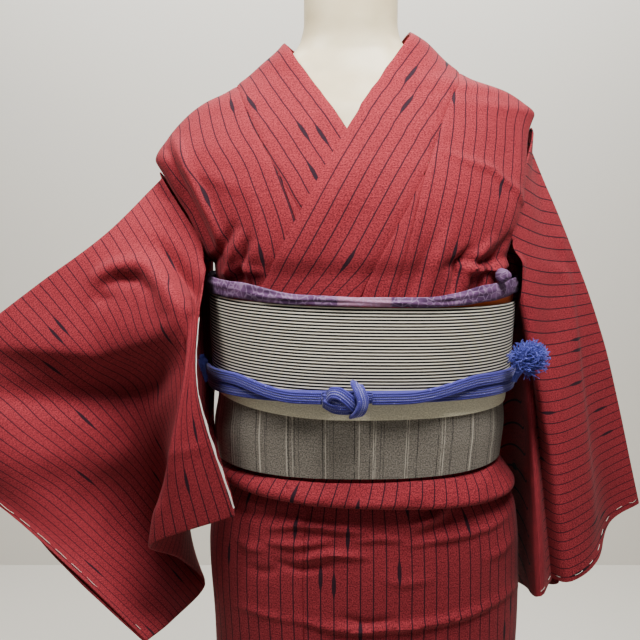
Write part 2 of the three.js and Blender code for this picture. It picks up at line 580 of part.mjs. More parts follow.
// The tuck is one fold of the upper body's cloth: down outside, round its lower edge, up inside.
// `from` says whether a row is measured up from the tuck's foot or from the belt's lower edge.
const TUCK_PATH = [
  { from: 'belt', rise: 28, out: -10.2 }, { from: 'belt', rise: -2, out: -10 },
  { from: 'belt', rise: -6, out: -5.8 }, { from: 'foot', rise: 9, out: 0.5 },
  { from: 'foot', rise: 3, out: 1.5 }, { from: 'foot', rise: 0, out: -1 },
  { from: 'foot', rise: 3.5, out: -3.8 }, { from: 'belt', rise: -4, out: -9.6 },
  { from: 'belt', rise: 12, out: -12.6 }, { from: 'belt', rise: 28, out: -12.9 },
];
const TUCK_BULGE = { left: 0, right: 13 };      // how far it stands out over each hip
const TUCK_COLUMNS = 30;
function tuckPlace(i, j) {
  const angle = 360 * j / TUCK_COLUMNS;
  const across = Math.sin(rad(angle));
  const { from, rise, out } = TUCK_PATH[i];
  const foot = TUCK_BOTTOM - TUCK_TILT * across;
  const z = from === 'foot' ? foot + rise : BELT_LOWER_BOTTOM + rise;
  const full = 1 - ease((z - foot) / (BELT_LOWER_BOTTOM - foot));
  const bulge = (across > 0 ? TUCK_BULGE.right : TUCK_BULGE.left) * across ** 2 * full;
  return onSection(BELT, angle, z, out + bulge);
}
add('waist_tuck', wall(tuckPlace, TUCK_PATH.length - 1, TUCK_COLUMNS, CLOTH, true), finishes.silk);

// ---------------------------------------------------------------- sleeves
function sheetThrough(rows) {
  const names = Object.keys(rows[0]).filter((key) => key !== 'name');
  const lines = rows.map((row) => names.map((name) => row[name]));
  return (s, t) => through(lines.map((line) => through(line, t * (names.length - 1))),
    s * (rows.length - 1));
}

const NET_STEP = 0.004;         // how far apart a sleeve's slope is taken
function sleeve(rows, hangs, facing, sections, around) {
  const surface = sheetThrough(rows);
  const hang = sheetThrough(hangs);
  const place = (i, j) => {
    const s = i / sections;
    const turn = 2 * Math.PI * j / around;
    const t = 0.5 - 0.5 * Math.cos(turn);
    const point = new THREE.Vector3(...surface(s, t));
    const ds = new THREE.Vector3(...surface(Math.min(1, s + NET_STEP), t))
      .sub(new THREE.Vector3(...surface(Math.max(0, s - NET_STEP), t)));
    const dt = new THREE.Vector3(...surface(s, Math.min(1, t + NET_STEP)))
      .sub(new THREE.Vector3(...surface(s, Math.max(0, t - NET_STEP))));
    const out = ds.cross(dt).setLength(facing);
    const round = SLEEVE_FOLD_RADIUS * Math.abs(Math.sin(turn)) ** 0.5;
    if (j <= around / 2) return standOff(SLEEVE_CLEAR, point.addScaledVector(out, round).toArray());
    const [across, back] = hang(s, t);
    point.addScaledVector(out, -round).add(new THREE.Vector3(across, back, 0));
    return standOff(SLEEVE_CLEAR, point.toArray());
  };
  return wall(place, sections, around, CLOTH, true);
}
add('right_sleeve', sleeve(SLEEVE_RIGHT, HANG_RIGHT, 1, 12, 28), finishes.silk);
add('left_sleeve', sleeve(SLEEVE_LEFT, HANG_LEFT, -1, 8, 34), finishes.silk);

// The lining is one strip along the open inner edge of each sleeve's front layer.
function liningStrip(rows, from, to) {
  const surface = sheetThrough(rows);
  const steps = 14;
  const place = (i, j) => {
    const t = mix(from, to, j / steps);
    const edge = new THREE.Vector3(...surface(0, t));
    const inside = new THREE.Vector3(...surface(0.03, t));
    const outwards = edge.clone().sub(inside).normalize();
    return edge.addScaledVector(outwards, LINING_GAP + LINING_SHOWS * i).toArray();
  };
  return wall(place, 1, steps, EDGE_WALL);
}
add('right_sleeve_lining', liningStrip(SLEEVE_RIGHT, ...LINING_RANGE.right), finishes.lining);
add('left_sleeve_lining', liningStrip(SLEEVE_LEFT, ...LINING_RANGE.left), finishes.lining);

// ---------------------------------------------------------------- belt
// A band round the body between two heights that may change with the angle.
function band(bottomAt, topAt, out, thick, from = 0, to = 360, columns = 36) {
  const rows = 2;
  const place = (i, j) => {
    const angle = mix(from, to, j / columns);
    return onSection(BELT, angle, mix(bottomAt(angle), topAt(angle), i / rows), out);
  };
  return wall(place, rows, columns, thick, to - from >= 360);
}
const beltTopAt = (angle) => BELT_TOP - BELT_TOP_TILT * Math.sin(rad(angle))
  - BELT_TOP_DIP * Math.max(0, Math.cos(rad(angle)));
const creamBottomAt = (angle) => CREAM_BOTTOM + CREAM_TILT * Math.min(0, Math.sin(rad(angle))) ** 2;
add('belt_upper_wrap', band(() => BELT_UPPER_BOTTOM, beltTopAt, BELT_OUT.upper, BELT_WALL),
  finishes.beltStripe);
add('belt_middle_fold', band(creamBottomAt, () => CREAM_TOP, BELT_OUT.middle, BELT_WALL),
  finishes.beltCream);
add('belt_lower_wrap', band(() => BELT_LOWER_BOTTOM, () => BELT_LOWER_TOP, BELT_OUT.lower,
  BELT_WALL), finishes.beltGrey);
const orangeRise = (angle) => ORANGE_RISE * ease((angle - ORANGE_FROM) / ORANGE_FADE_IN)
  * ease((ORANGE_TO + ORANGE_FADE_OUT / 2 - angle) / ORANGE_FADE_OUT);
add('belt_orange_edge', band((angle) => beltTopAt(angle) - ORANGE_HIDDEN,
  (angle) => beltTopAt(angle) + orangeRise(angle), BELT_OUT.orange, EDGE_WALL, ORANGE_FROM,
  ORANGE_TO, 7), finishes.beltOrange);

// The drum bow: the belt's end folded into a flat loop on the back, with its tail below.
function bowSheet(path, halfWidth, columns) {
  const place = (i, j) => {
    const x = mix(-halfWidth, halfWidth, j / columns) + BOW_CENTRE;
    const [out, z] = path[i];
    const round = BOW_ROUND * ((x - BOW_CENTRE) / halfWidth) ** 2;
    return [x, out - round, z];
  };
  return wall(place, path.length - 1, columns, BELT_WALL);
}
add('belt_drum', bowSheet(DRUM_PATH, DRUM_HALF, 8), finishes.beltStripe);
add('belt_tail', bowSheet(TAIL_PATH, TAIL_HALF, 8), finishes.beltGrey);

// ---------------------------------------------------------------- sash and cord
const RING = 40;
// The sash is pressed flat in the middle of the front, where its ends were tied.
const sashHalfHigh = (angle) => mix(SASH_HALF_HIGH, SASH_HALF_FRONT,
  ease((Math.cos(rad(angle)) - SASH_FLAT_FROM) / (1 - SASH_FLAT_FROM)));
function sashPoint(angle) {
  const back = ease((-Math.cos(rad(angle)) - SASH_LEAVES) * SASH_RISE_RATE);
  const z = mix(beltTopAt(angle) + orangeRise(angle) + sashHalfHigh(angle) + SASH_GAP, SASH_BACK, back);
  return onSection(BELT, angle, z, SASH_OUT + SASH_OVER_BOW * back);
}
const sashRing = Array.from({ length: RING }, (_, i) => 360 * i / RING);
add('sash', braid(sashRing.map(sashPoint), sashRing.map(sashHalfHigh), SASH_HALF_THICK, 8, true),
  finishes.sash);

function eggRings(centre, half, count = 8, sides = 12) {
  return Array.from({ length: count }, (_, i) => {
    const lift = Math.PI * ((i + 0.5) / count - 0.5);
    return Array.from({ length: sides }, (__, j) => {
      const turn = 2 * Math.PI * j / sides;
      return [centre[0] + half[0] * Math.cos(lift) * Math.cos(turn),
        centre[1] + half[1] * Math.cos(lift) * Math.sin(turn), centre[2] + half[2] * Math.sin(lift)];
    });
  });
}
add('sash_knot', loft(eggRings(SASH_KNOT, SASH_KNOT_HALF, 6, 10)), finishes.sash);

const cordHeight = (angle) => CORD_HEIGHT + CORD_RISE * Math.max(0, Math.cos(rad(angle)));
const overBow = (angle) => CORD_OVER_BOW
  * ease((CORD_ON_BOW - Math.abs(angle - 180)) / CORD_LEAVES_BOW);
const cordPoint = (angle, out, rise) => onSection(BELT, angle, cordHeight(angle) + rise,
  CORD_THICK / 2 + CORD_SEAT + out);
add('cord_round', braid(Array.from({ length: RING }, (_, i) => 360 * i / RING)
  .map((angle) => cordPoint(angle, overBow(angle), 0)), CORD_WIDTH / 2, CORD_THICK / 2, 8, true),
finishes.cord);

// Each end of the cord leaves the knot over the first round and is drawn back to the side.
function cordEnd(from, to, rise) {
  const steps = 12;
  const points = Array.from({ length: steps + 1 }, (_, i) => {
    const t = i / steps;
    return cordPoint(mix(from, to, t), CORD_THICK + 0.5, rise * ease(t * 1.3 - 0.2));
  });
  return braid(points, CORD_WIDTH / 2, CORD_THICK / 2, 8);
}
add('cord_right_end', cordEnd(-10.2, -78, CORD_WIDTH), finishes.cord);
add('cord_left_end', cordEnd(2.2, 70, CORD_WIDTH), finishes.cord);
add('cord_knot', loft(eggRings(CORD_KNOT, CORD_KNOT_HALF, 8, 14)), finishes.cord);

// A tassel: rings from its neck to its loose tips.
function tassel({ neck, tips, radius, flat }) {
  const a = new THREE.Vector3(...neck);
  const run = new THREE.Vector3(...tips).sub(a);
  const wide = run.clone().cross(new THREE.Vector3(...flat)).normalize();
  const thin = wide.clone().cross(run).normalize();
  const rings = TASSEL_SHAPE.map(([along, share]) => ovalRing(
    a.clone().addScaledVector(run, along).toArray(), wide.toArray(), thin.toArray(),
    radius * share, radius * share * TASSEL_FLATNESS, 12));
  return loft(rings);
}
add('cord_left_tassel', tassel(TASSEL_LEFT), finishes.cord);
add('cord_right_tassel', tassel(TASSEL_RIGHT), finishes.cord);

// ---------------------------------------------------------------- form and stand
function formRing({ z }) {
  return Array.from({ length: 24 }, (_, i) => onSection(FORM, 15 * i, z));
}
add('form_torso', loft(FORM.map(formRing)), finishes.form);
const poleLength = FORM[0].z - BASE_THICK - 2 * SEAM_GAP;
const pole = new THREE.CylinderGeometry(POLE_RADIUS, POLE_RADIUS, poleLength, 24);
pole.rotateX(Math.PI / 2);
pole.translate(0, 0, (FORM[0].z + BASE_THICK) / 2);
add('form_pole', pole, finishes.pole);
const base = new THREE.LatheGeometry([
  [0, 0], [BASE_RADIUS, 0], [BASE_RADIUS, BASE_THICK - 4], [BASE_RADIUS - 4, BASE_THICK], [0, BASE_THICK],
].map(([r, z]) => new THREE.Vector2(r, z)), 40);
base.rotateX(Math.PI / 2);
add('form_base', base, finishes.base);

export default kimono;
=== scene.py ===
import math

import bmesh
import bpy
import numpy as np
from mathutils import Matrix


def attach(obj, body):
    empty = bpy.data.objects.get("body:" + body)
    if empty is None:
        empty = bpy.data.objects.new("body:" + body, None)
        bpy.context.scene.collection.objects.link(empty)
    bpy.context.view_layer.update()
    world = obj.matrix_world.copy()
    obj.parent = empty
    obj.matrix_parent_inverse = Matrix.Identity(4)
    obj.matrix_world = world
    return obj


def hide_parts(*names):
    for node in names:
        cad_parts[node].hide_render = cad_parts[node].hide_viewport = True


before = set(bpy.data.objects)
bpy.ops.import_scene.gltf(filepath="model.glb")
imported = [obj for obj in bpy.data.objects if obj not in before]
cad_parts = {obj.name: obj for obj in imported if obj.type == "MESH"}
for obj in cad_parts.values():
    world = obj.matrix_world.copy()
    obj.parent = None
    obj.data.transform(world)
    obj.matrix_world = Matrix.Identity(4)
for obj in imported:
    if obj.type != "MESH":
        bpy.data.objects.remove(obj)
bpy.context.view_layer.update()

# Lengths are in millimetres until a mesh is made. +X is the viewer's right, -Y the front, +Z up.
MM = 0.001
IMAGE = 640

# ------------------------------------------------------------------ camera
CAMERA_AT = np.array([-38.0, -840.0, 1154.0])
CAMERA_PITCH = math.radians(7.7)
CAMERA_FOCUS = 772.0             # focal length in the units of a 640 wide frame
SENSOR = 36.0


def make_camera():
    lens = bpy.data.cameras.new("camera")
    lens.sensor_width = SENSOR
    lens.lens = CAMERA_FOCUS / IMAGE * SENSOR
    lens.clip_start = 0.05
    camera = bpy.data.objects.new("camera", lens)
    camera.location = CAMERA_AT * MM
    camera.rotation_euler = (math.pi / 2 - CAMERA_PITCH, 0, 0)
    bpy.context.scene.collection.objects.link(camera)
    bpy.context.scene.camera = camera


make_camera()


def in_view(points):
    """Where points appear from the front, in units of a 640 wide frame, x right and y down."""
    offset = points - CAMERA_AT
    c, s = math.cos(CAMERA_PITCH), math.sin(CAMERA_PITCH)
    deep = offset[..., 1] * c - offset[..., 2] * s
    up = offset[..., 1] * s + offset[..., 2] * c
    return paired(IMAGE / 2 + CAMERA_FOCUS * offset[..., 0] / deep, IMAGE / 2 - CAMERA_FOCUS * up / deep)


# ------------------------------------------------------------------ sizes of the dressed body
CLOTH, COLLAR_WALL, BELT_WALL, EDGE_WALL = 1.6, 3.2, 2.4, 1.2
SEAM_GAP = 0.3
SEAM_INSET, WIDEST_INSET = 0.65 * SEAM_GAP, 0.2     # in mm, and as a share of a strip
LAP_LIFT, LAP_FROM, LAP_FULL = 7, 70, 25
KEN_SAKI, NAPE = 3, 8

# Sections: height, left, right, front, back, power of the superellipse.
BODY = [
    (1000, -145, 157, -116, 126, 2.3), (1062, -146, 160, -117, 126, 2.3),
    (1082, -148, 161, -117, 118, 2.3), (1096, -150, 163, -117, 118, 2.3),
    (1117, -164, 170, -120, 121, 2.2), (1160, -186, 181, -117, 122, 2.0),
    (1197, -206, 183, -108, 120, 1.8), (1212, -213, 184, -102, 118, 1.7),
    (1236, -198, 185, -92, 114, 1.6), (1260, -176, 188, -80, 108, 1.5),
    (1272, -159, 175, -73, 104, 1.5), (1282, -137, 158, -67, 101, 1.6),
    (1295, -116, 121, -60, 96, 1.7), (1308, -100, 98, -54, 91, 1.9),
    (1330, -76, 74, -48, 82, 2.0), (1345, -70, 55, -44, 74, 2.0),
]
SKIRT = [
    (36, -140, 160, -117, 116, 2.2), (300, -147, 170, -119, 119, 2.2),
    (600, -153, 180, -121, 122, 2.3), (715, -157, 184, -122, 122, 2.3),
    (795, -161, 183, -122, 122, 2.3), (840, -156, 178, -120, 119, 2.3),
    (874, -142, 160, -117, 115, 2.3), (890, -135, 151, -114, 112, 2.3),
    (905, -131, 145, -112, 110, 2.3), (960, -129, 142, -109, 107, 2.3),
]
BELT = [
    (900, -152, 161, -129, 127, 2.3), (955, -154, 166, -132, 129, 2.3),
    (985, -155, 167, -133, 130, 2.3), (1076, -157, 171, -132, 130, 2.3),
]
FORM = [
    (720, -108, 118, -76, 80, 2.2), (735, -124, 135, -86, 92, 2.2),
    (770, -132, 143, -93, 98, 2.2), (840, -132, 144, -100, 101, 2.2),
    (885, -122, 134, -99, 99, 2.2), (970, -121, 133, -99, 98, 2.2),
    (1060, -132, 144, -103, 102, 2.2), (1150, -152, 162, -106, 110, 2.1),
    (1200, -160, 166, -97, 110, 1.9), (1240, -163, 168, -82, 104, 1.7),
    (1260, -162, 170, -75, 101, 1.6), (1272, -149, 164, -67, 95, 1.6),
    (1282, -131, 149, -61, 90, 1.6), (1295, -108, 112, -53, 80, 1.7),
    (1308, -88, 86, -47, 70, 2.0), (1322, -66, 58, -43, 61, 2.0),
    (1336, -58, 46, -42, 56, 2.0), (1352, -55, 43, -43, 54, 2.0),
    (1408, -55, 43, -44, 54, 2.0), (1416, -51, 39, -40, 50, 2.0),
    (1421, -40, 28, -29, 39, 2.0),
]
SLEEVE_CLEAR = [
    (640, -160, 186, -126, 126, 2.3), (795, -165, 188, -126, 126, 2.3),
    (840, -162, 185, -128, 128, 2.3), (870, -156, 180, -136, 133, 2.3),
    (900, -153, 175, -137, 132, 2.3), (955, -156, 171, -137, 134, 2.3),
    (1060, -161, 176, -137, 135, 2.3), (1076, -165, 180, -142, 142, 2.3),
    (1106, -168, 181, -142, 150, 2.3), (1122, -170, 175, -130, 140, 2.2),
    (1160, -188, 184, -119, 125, 2.0), (1197, -209, 186, -111, 123, 1.8),
    (1212, -216, 187, -105, 121, 1.7), (1236, -201, 188, -95, 117, 1.6),
    (1260, -179, 191, -83, 111, 1.5),
]

# Seam lines of the upper body: neck edge, seam edge (x, height) and the face it lies on.
COLLAR_LEFT = [
    ((-110, 1046), (-9, 1046), "front"), ((-90, 1085), (2, 1083), "front"),
    ((-55, 1155), (18, 1118), "front"), ((-13, 1234), (59, 1197), "front"),
    ((14, 1278), (77, 1244), "front"), ((37, 1315), (91, 1275), "front"),
    ((55, 1344), (104, 1304), "ridge"), ((44, 1334), (80, 1284), "back"),
    ((0, 1322), (0, 1264), "back"),
]
COLLAR_RIGHT = [
    ((90, 1046), (2, 1046), "front"), ((70, 1085), (-10, 1083), "front"),
    ((34, 1157), (-40, 1130), "front"), ((-13, 1236), (-80, 1199), "front"),
    ((-38, 1274), (-100, 1237), "front"), ((-59, 1305), (-113, 1264), "front"),
    ((-74, 1332), (-122, 1290), "ridge"), ((-58, 1330), (-92, 1278), "back"),
    ((0, 1322), (0, 1264), "back"),
]
PANEL_LEFT = [
    ((24, 1046), (140, 1046), "front"), ((32, 1083), (144, 1083), "front"),
    ((44, 1135), (151, 1122), "front"), (None, (163, 1160), "front"),
    (None, (172, 1197), "front"), (None, (178, 1234), "front"),
    (None, (188, 1260), "ridge"), (None, (174, 1210), "back"),
    (None, (163, 1155), "back"), ((0, 1150), (150, 1095), "back"),
    ((0, 1046), (140, 1046), "back"),
]
PANEL_RIGHT = [
    ((-45, 1046), (-129, 1046), "front"), ((-50, 1083), (-139, 1080), "front"),
    ((-60, 1144), (-153, 1105), "front"), (None, (-170, 1146), "front"),
    (None, (-184, 1168), "front"), (None, (-199, 1192), "front"),
    (None, (-213, 1212), "ridge"), (None, (-194, 1180), "back"),
    (None, (-172, 1140), "back"), ((0, 1150), (-152, 1095), "back"),
    ((0, 1046), (-129, 1046), "back"),
]

# Sleeves: lines of the front layer from the top fold to the bottom seam, from armhole to cuff.
SLEEVE_RIGHT = [
    [(-201, 6, 1200), (-154, -51, 1122), (-156, -92, 1062), (-155, -115, 980), (-123, -106, 859)],
    [(-259, -36, 1135), (-194, -80, 1080), (-174, -112, 1008), (-186, -120, 926), (-206, -110, 831)],
    [(-324, -48, 1086), (-262, -56, 1020), (-222, -50, 950), (-202, -36, 866), (-193, -28, 778)],
    [(-392, -50, 1035), (-328, -62, 962), (-272, -44, 888), (-220, 6, 802), (-178, 44, 712)],
    [(-460, -46, 986), (-388, -74, 922), (-326, -72, 864), (-262, -54, 792), (-202, -36, 710)],
    [(-527, -40, 938), (-444, -62, 900), (-372, -76, 860), (-305, -86, 802), (-219, -92, 717)],
]
HANG_RIGHT = [
    [(0, 0), (-4, 97), (-2, 125), (0, 133), (0, 0)],
    [(0, 0), (-6, 96), (-14, 84), (6, 16), (0, 0)],
    [(0, 0), (4, 62), (8, 34), (16, 4), (0, 0)],
    [(0, 0), (0, 44), (0, 34), (2, 18), (0, 0)],
    [(0, 0), (0, 36), (0, 38), (-6, 20), (0, 0)],
    [(0, 0), (0, 30), (0, 18), (-1, 1), (0, 0)],
]
SLEEVE_LEFT = [
    [(178, 6, 1247), (168, -33, 1200), (155, -58, 1154), (154, -60, 1120), (179, -17, 1099),
     (181, -4, 1066), (179, 14, 1028), (174, 37, 960), (171, 60, 880), (168, 82, 800)],
    [(267, 3, 1039), (239, -22, 1008), (212, -58, 972), (192, -72, 949), (194, -42, 935),
     (186, -50, 915), (189, -6, 885), (188, 49, 836), (177, 95, 784), (148, 125, 731)],
    [(323, 0, 831), (286, -12, 815), (257, -58, 791), (222, -80, 778), (207, -62, 772),
     (188, -90, 765), (196, -26, 742), (199, 60, 712), (180, 130, 688), (124, 168, 662)],
]
HANG_LEFT = [
    [(0, 0), (0, 68), (2, 116), (8, 112), (4, 52), (5, 40), (6, 34), (6, 26), (4, 14), (0, 0)],
    [(0, 0), (2, 47), (4, 87), (9, 87), (12, 47), (16, 36), (12, 23), (10, 15), (6, 11), (0, 0)],
    [(0, 0), (4, 26), (6, 58), (10, 62), (20, 42), (28, 32), (18, 12), (15, 4), (8, 8), (0, 0)],
]
SLEEVE_FOLD_RADIUS = 2.4


# ------------------------------------------------------------------ small maths
def ease(t):
    t = np.clip(t, 0, 1)
    return t * t * (3 - 2 * t)


def mix(a, b, t):
    return a + (b - a) * t


def through(points, at):
    """Catmull-Rom through rows of points, at real-valued indices."""
    points = np.asarray(points, float)
    ends = np.concatenate([[2 * points[0] - points[1]], points, [2 * points[-1] - points[-2]]])
    at = np.asarray(at, float)
    i = np.clip(np.floor(at), 0, len(points) - 2).astype(int)
    t = (at - i).reshape(at.shape + (1,) * (points.ndim - 1))
    p0, p1, p2, p3 = ends[i], ends[i + 1], ends[i + 2], ends[i + 3]
    return p1 + 0.5 * t * (p2 - p0 + t * (2 * p0 - 5 * p1 + 4 * p2 - p3 + t * (3 * p1 - p0 - 3 * p2 + p3)))


def row_at(table, z):
    """A table's columns at heights, by a cubic that never overshoots a row."""
    table = np.asarray(table, float)
    height, columns = table[:, 0], table[:, 1:]
    grade = np.diff(columns, axis=0) / np.diff(height)[:, None]
    slope = np.zeros_like(columns)
    before, after = grade[:-1], grade[1:]
    same = before * after > 0
    slope[1:-1] = np.where(same, 2 * before * after / np.where(same, before + after, 1), 0)
    z = np.asarray(z, float)
    high = np.clip(np.searchsorted(height, z), 1, len(height) - 1)
    low = high - 1
    span = height[high] - height[low]
    t = np.clip((z - height[low]) / span, 0, 1)[..., None]
    row = (columns[low] * (1 + 2 * t) * (1 - t) ** 2 + columns[high] * t * t * (3 - 2 * t)
           + span[..., None] * (slope[low] * t * (1 - t) ** 2 + slope[high] * t * t * (t - 1)))
    return [row[..., k] for k in range(5)]


def on_section(table, angle, z, out=0.0):
    """A point on a table's surface. Angle 0 is the middle of the front, 90 the viewer's right."""
    angle, z, out = np.broadcast_arrays(np.asarray(angle, float), np.asarray(z, float), out)
    left, right, front, back, power = row_at(table, z)
    s, c = np.sin(np.radians(angle)), np.cos(np.radians(angle))
    across = np.where(s >= 0, right, -left) + out
    deep = np.where(c >= 0, -front, back) + out
    k = 2 / power
    return np.stack([np.sign(s) * np.abs(s) ** k * across, -np.sign(c) * np.abs(c) ** k * deep, z], axis=-1)


def angle_of(place, face, side):
    """The angle of a seam point on the body that is given by its x, height, face and side."""
    x, z = place
    if face == "ridge":
        return 90 * side
    left, right, _, _, power = row_at(BODY, z)
    half = -left if x < 0 or (x == 0 and side < 0) else right
    angle = math.degrees(math.asin(min(1, (abs(x) / half) ** (power / 2))))
    return (side if x == 0 else math.copysign(1, x)) * (angle if face == "front" else 180 - angle)


def stand_off(table, points):
    """Moves points level and straight out until they lie on a table's surface, if inside it."""
    left, right, front, back, power = row_at(table, points[..., 2])
    across = np.abs(points[..., 0]) / np.where(points[..., 0] > 0, right, -left)
    deep = np.abs(points[..., 1]) / np.where(points[..., 1] > 0, back, -front)
    size = np.minimum(1, (across ** power + deep ** power) ** (1 / power))
    moved = points.copy()
    moved[..., :2] /= np.maximum(size, 0.2)[..., None]
    return moved


def unit(vectors):
    return vectors / np.maximum(np.linalg.norm(vectors, axis=-1, keepdims=True), 1e-9)


def run_length(points, axis):
    """Length walked along an axis of a grid of points."""
    steps = np.linalg.norm(np.diff(points, axis=axis), axis=-1)
    start = np.zeros_like(np.take(steps, [0], axis=axis))
    return np.concatenate([start, np.cumsum(steps, axis=axis)], axis=axis)


def paired(u, v):
    """Two grids as one grid of pairs."""
    return np.stack(np.broadcast_arrays(u, v), axis=-1)


# ------------------------------------------------------------------ creases
def crease_height(places, marks):
    """Sum of soft troughs and ridges along marked lines. A mark is its line, its height, and its
    half widths to the right and to the left of the way it runs."""
    total = np.zeros(places.shape[:-1])
    for line, height, right, left in marks:
        line = np.asarray(line, float)
        lengths = np.linalg.norm(np.diff(line, axis=0), axis=1)
        walked = np.concatenate([[0], np.cumsum(lengths)])
        best = np.full(places.shape[:-1], 1e9)
        side = np.zeros_like(best)
        along = np.zeros_like(best)
        for k, length in enumerate(lengths):
            way = (line[k + 1] - line[k]) / length
            offset = places - line[k]
            t = np.clip(offset @ way, 0, length)
            away = offset - t[..., None] * way
            distance = np.hypot(away[..., 0], away[..., 1])
            nearer = distance < best
            best = np.where(nearer, distance, best)
            along = np.where(nearer, walked[k] + t, along)
            side = np.where(nearer, np.sign(offset[..., 1] * way[0] - offset[..., 0] * way[1]), side)
        width = np.where(side >= 0, right, left)
        share = along / walked[-1]
        fade = np.sin(np.pi * np.clip(0.08 + 0.84 * share, 0, 1)) ** 0.8
        total += height * fade * np.exp(-(best / width) ** 2)
    return total


def ripple(points, size, seed):
    """A smooth random height for each point, about -1 to 1, with waves of about that size."""
    dice = np.random.default_rng(seed)
    total = np.zeros(points.shape[:-1])
    for _ in range(9):
        way = unit(dice.normal(size=3)) * 2 * np.pi / (size * dice.uniform(0.7, 1.6))
        total += np.sin(points @ way + dice.uniform(0, 2 * np.pi))
    return total / 4.5


# ------------------------------------------------------------------ meshes
def object_of(mesh, name):
    piece = bpy.data.objects.new(name, mesh)
    bpy.context.scene.collection.objects.link(piece)
    return piece


def grid_mesh(name, points, uv, closed=False):
    """A mesh from a grid of points in millimetres. With `closed` its last column is the first."""
    rows, columns = points.shape[0], points.shape[1]
    kept = columns - 1 if closed else columns
    verts = points[:, :kept].reshape(-1, 3) * MM
    i, j = np.meshgrid(np.arange(rows - 1), np.arange(columns - 1), indexing="ij")
    i, j = i.ravel(), j.ravel()
    corners = [(i, j), (i + 1, j), (i + 1, j + 1), (i, j + 1)]
    faces = np.stack([a * kept + b % kept for a, b in corners], axis=1)
    mesh = bpy.data.meshes.new(name)
    mesh.from_pydata(verts.tolist(), [], faces.tolist())
    layer = mesh.uv_layers.new(name="cloth")
    flat = np.stack([uv[a, b] for a, b in corners], axis=1).reshape(-1, 2) * MM
    layer.data.foreach_set("uv", flat.ravel())
    mesh.shade_smooth()
    return mesh


def finished(piece):
    """Replaces a piece's mesh by the one that its modifiers make, and drops them."""
    graph = bpy.context.evaluated_depsgraph_get()
    made = bpy.data.meshes.new_from_object(piece.evaluated_get(graph))
    piece.modifiers.clear()
    old, piece.data = piece.data, made
    bpy.data.meshes.remove(old)
    return piece


def shell(name, points, uv, wall, material, closed=False):
    """A sheet of cloth with a wall, on the grid of points that is its middle."""
    piece = object_of(grid_mesh(name, points, uv, closed), name)
    piece.data.materials.append(material)
    thick = piece.modifiers.new("wall", "SOLIDIFY")
    thick.thickness = wall * MM
    thick.offset = 0
    thick.use_rim = True
    finished(piece)
    piece.data.set_sharp_from_angle(angle=math.radians(60))
    return piece


def belongs(piece, slot, *nodes):
    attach(piece, "root")
    if nodes:
        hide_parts(*nodes)
    return piece


def outward(points, closed=False):
    """Unit normals of a grid of points that face away from the body's axis."""
    if closed:
        loop = np.concatenate([points[:, -2:-1], points, points[:, 1:2]], axis=1)
        along = (loop[:, 2:] - loop[:, :-2])
    else:
        along = np.gradient(points, axis=1)
    normal = unit(np.cross(np.gradient(points, axis=0), along))
    away = np.concatenate([points[..., :2], np.zeros(points.shape[:-1] + (1,))], axis=-1)
    flip = np.sign(np.sum(normal * away))
    return normal * (flip if flip else 1)


def lay(points, height, closed=False):
    return points + outward(points, closed) * height[..., None]


def edge_roll(share, width, roll, reach=4.0):
    """How far cloth sinks beside a seam at either side of a strip: share runs 0 to 1 over width."""
    near = np.minimum(share, 1 - share) * width
    return -roll * np.clip(1 - near / reach, 0, 1) ** 2


# ------------------------------------------------------------------ node helpers
class Nodes:
    """Short ways to add shader nodes to a tree."""

    def __init__(self, tree):
        self.tree = tree

    def add(self, kind, **inputs):
        node = self.tree.nodes.new(kind)
        for key, value in inputs.items():
            setattr(node, key, value)
        return node

    def plug(self, value, socket):
        if isinstance(value, bpy.types.NodeSocket):
            self.tree.links.new(value, socket)
        elif value is not None:
            socket.default_value = value

    def math(self, operation, *values):
        node = self.add("ShaderNodeMath", operation=operation)
        for socket, value in zip(node.inputs, values):
            self.plug(value, socket)
        return node.outputs[0]

    def plus(self, a, b):
        return self.math("ADD", a, b)

    def minus(self, a, b):
        return self.math("SUBTRACT", a, b)

    def times(self, a, b):
        return self.math("MULTIPLY", a, b)

    def over(self, a, b):
        return self.math("DIVIDE", a, b)

    def gap(self, a, b):
        return self.math("ABSOLUTE", self.minus(a, b))

    def off_centre(self, cell):
        """How far a value is from the middle of the unit cell that it lies in."""
        return self.gap(self.math("FRACT", cell), 0.5)

    def split(self, vector):
        """The first two parts of a vector."""
        node = self.add("ShaderNodeSeparateXYZ")
        self.plug(vector, node.inputs[0])
        return node.outputs[0], node.outputs[1]

    def shades(self, share, dark, light):
        return self.blend(share, colour(*dark), colour(*light))

    def tint(self, base, share, strength, paint):
        """Lays a colour over a base, where the share is 1 at the strength."""
        return self.blend(self.times(share, strength), base, colour(*paint))

    def blend(self, share, a, b):
        node = self.add("ShaderNodeMix", data_type="RGBA")
        for socket, value in zip((node.inputs[0], node.inputs[6], node.inputs[7]), (share, a, b)):
            self.plug(value, socket)
        return node.outputs[2]

    def ramp(self, value, low, high):
        node = self.add("ShaderNodeMapRange", interpolation_type="SMOOTHSTEP")
        self.plug(value, node.inputs[0])
        self.plug(low, node.inputs[1])
        self.plug(high, node.inputs[2])
        return node.outputs[0]

    def vector(self, x, y, z=0.0):
        node = self.add("ShaderNodeCombineXYZ")
        for socket, value in zip(node.inputs, (x, y, z)):
            self.plug(value, socket)
        return node.outputs[0]

    def noise(self, vector, scale, detail=2.0, roughness=0.5):
        node = self.add("ShaderNodeTexNoise")
        self.plug(vector, node.inputs["Vector"])
        node.inputs["Scale"].default_value = scale
        node.inputs["Detail"].default_value = detail
        node.inputs["Roughness"].default_value = roughness
        return node.outputs[0]

    def chance(self, vector):
        node = self.add("ShaderNodeTexWhiteNoise", noise_dimensions="3D")
        self.plug(vector, node.inputs[0])
        return node.outputs[0]

    def group(self, tree, **inputs):
        node = self.add("ShaderNodeGroup")
        node.node_tree = tree
        for key, value in inputs.items():
            self.plug(value, node.inputs[key.replace("_", " ")])
        return node.outputs


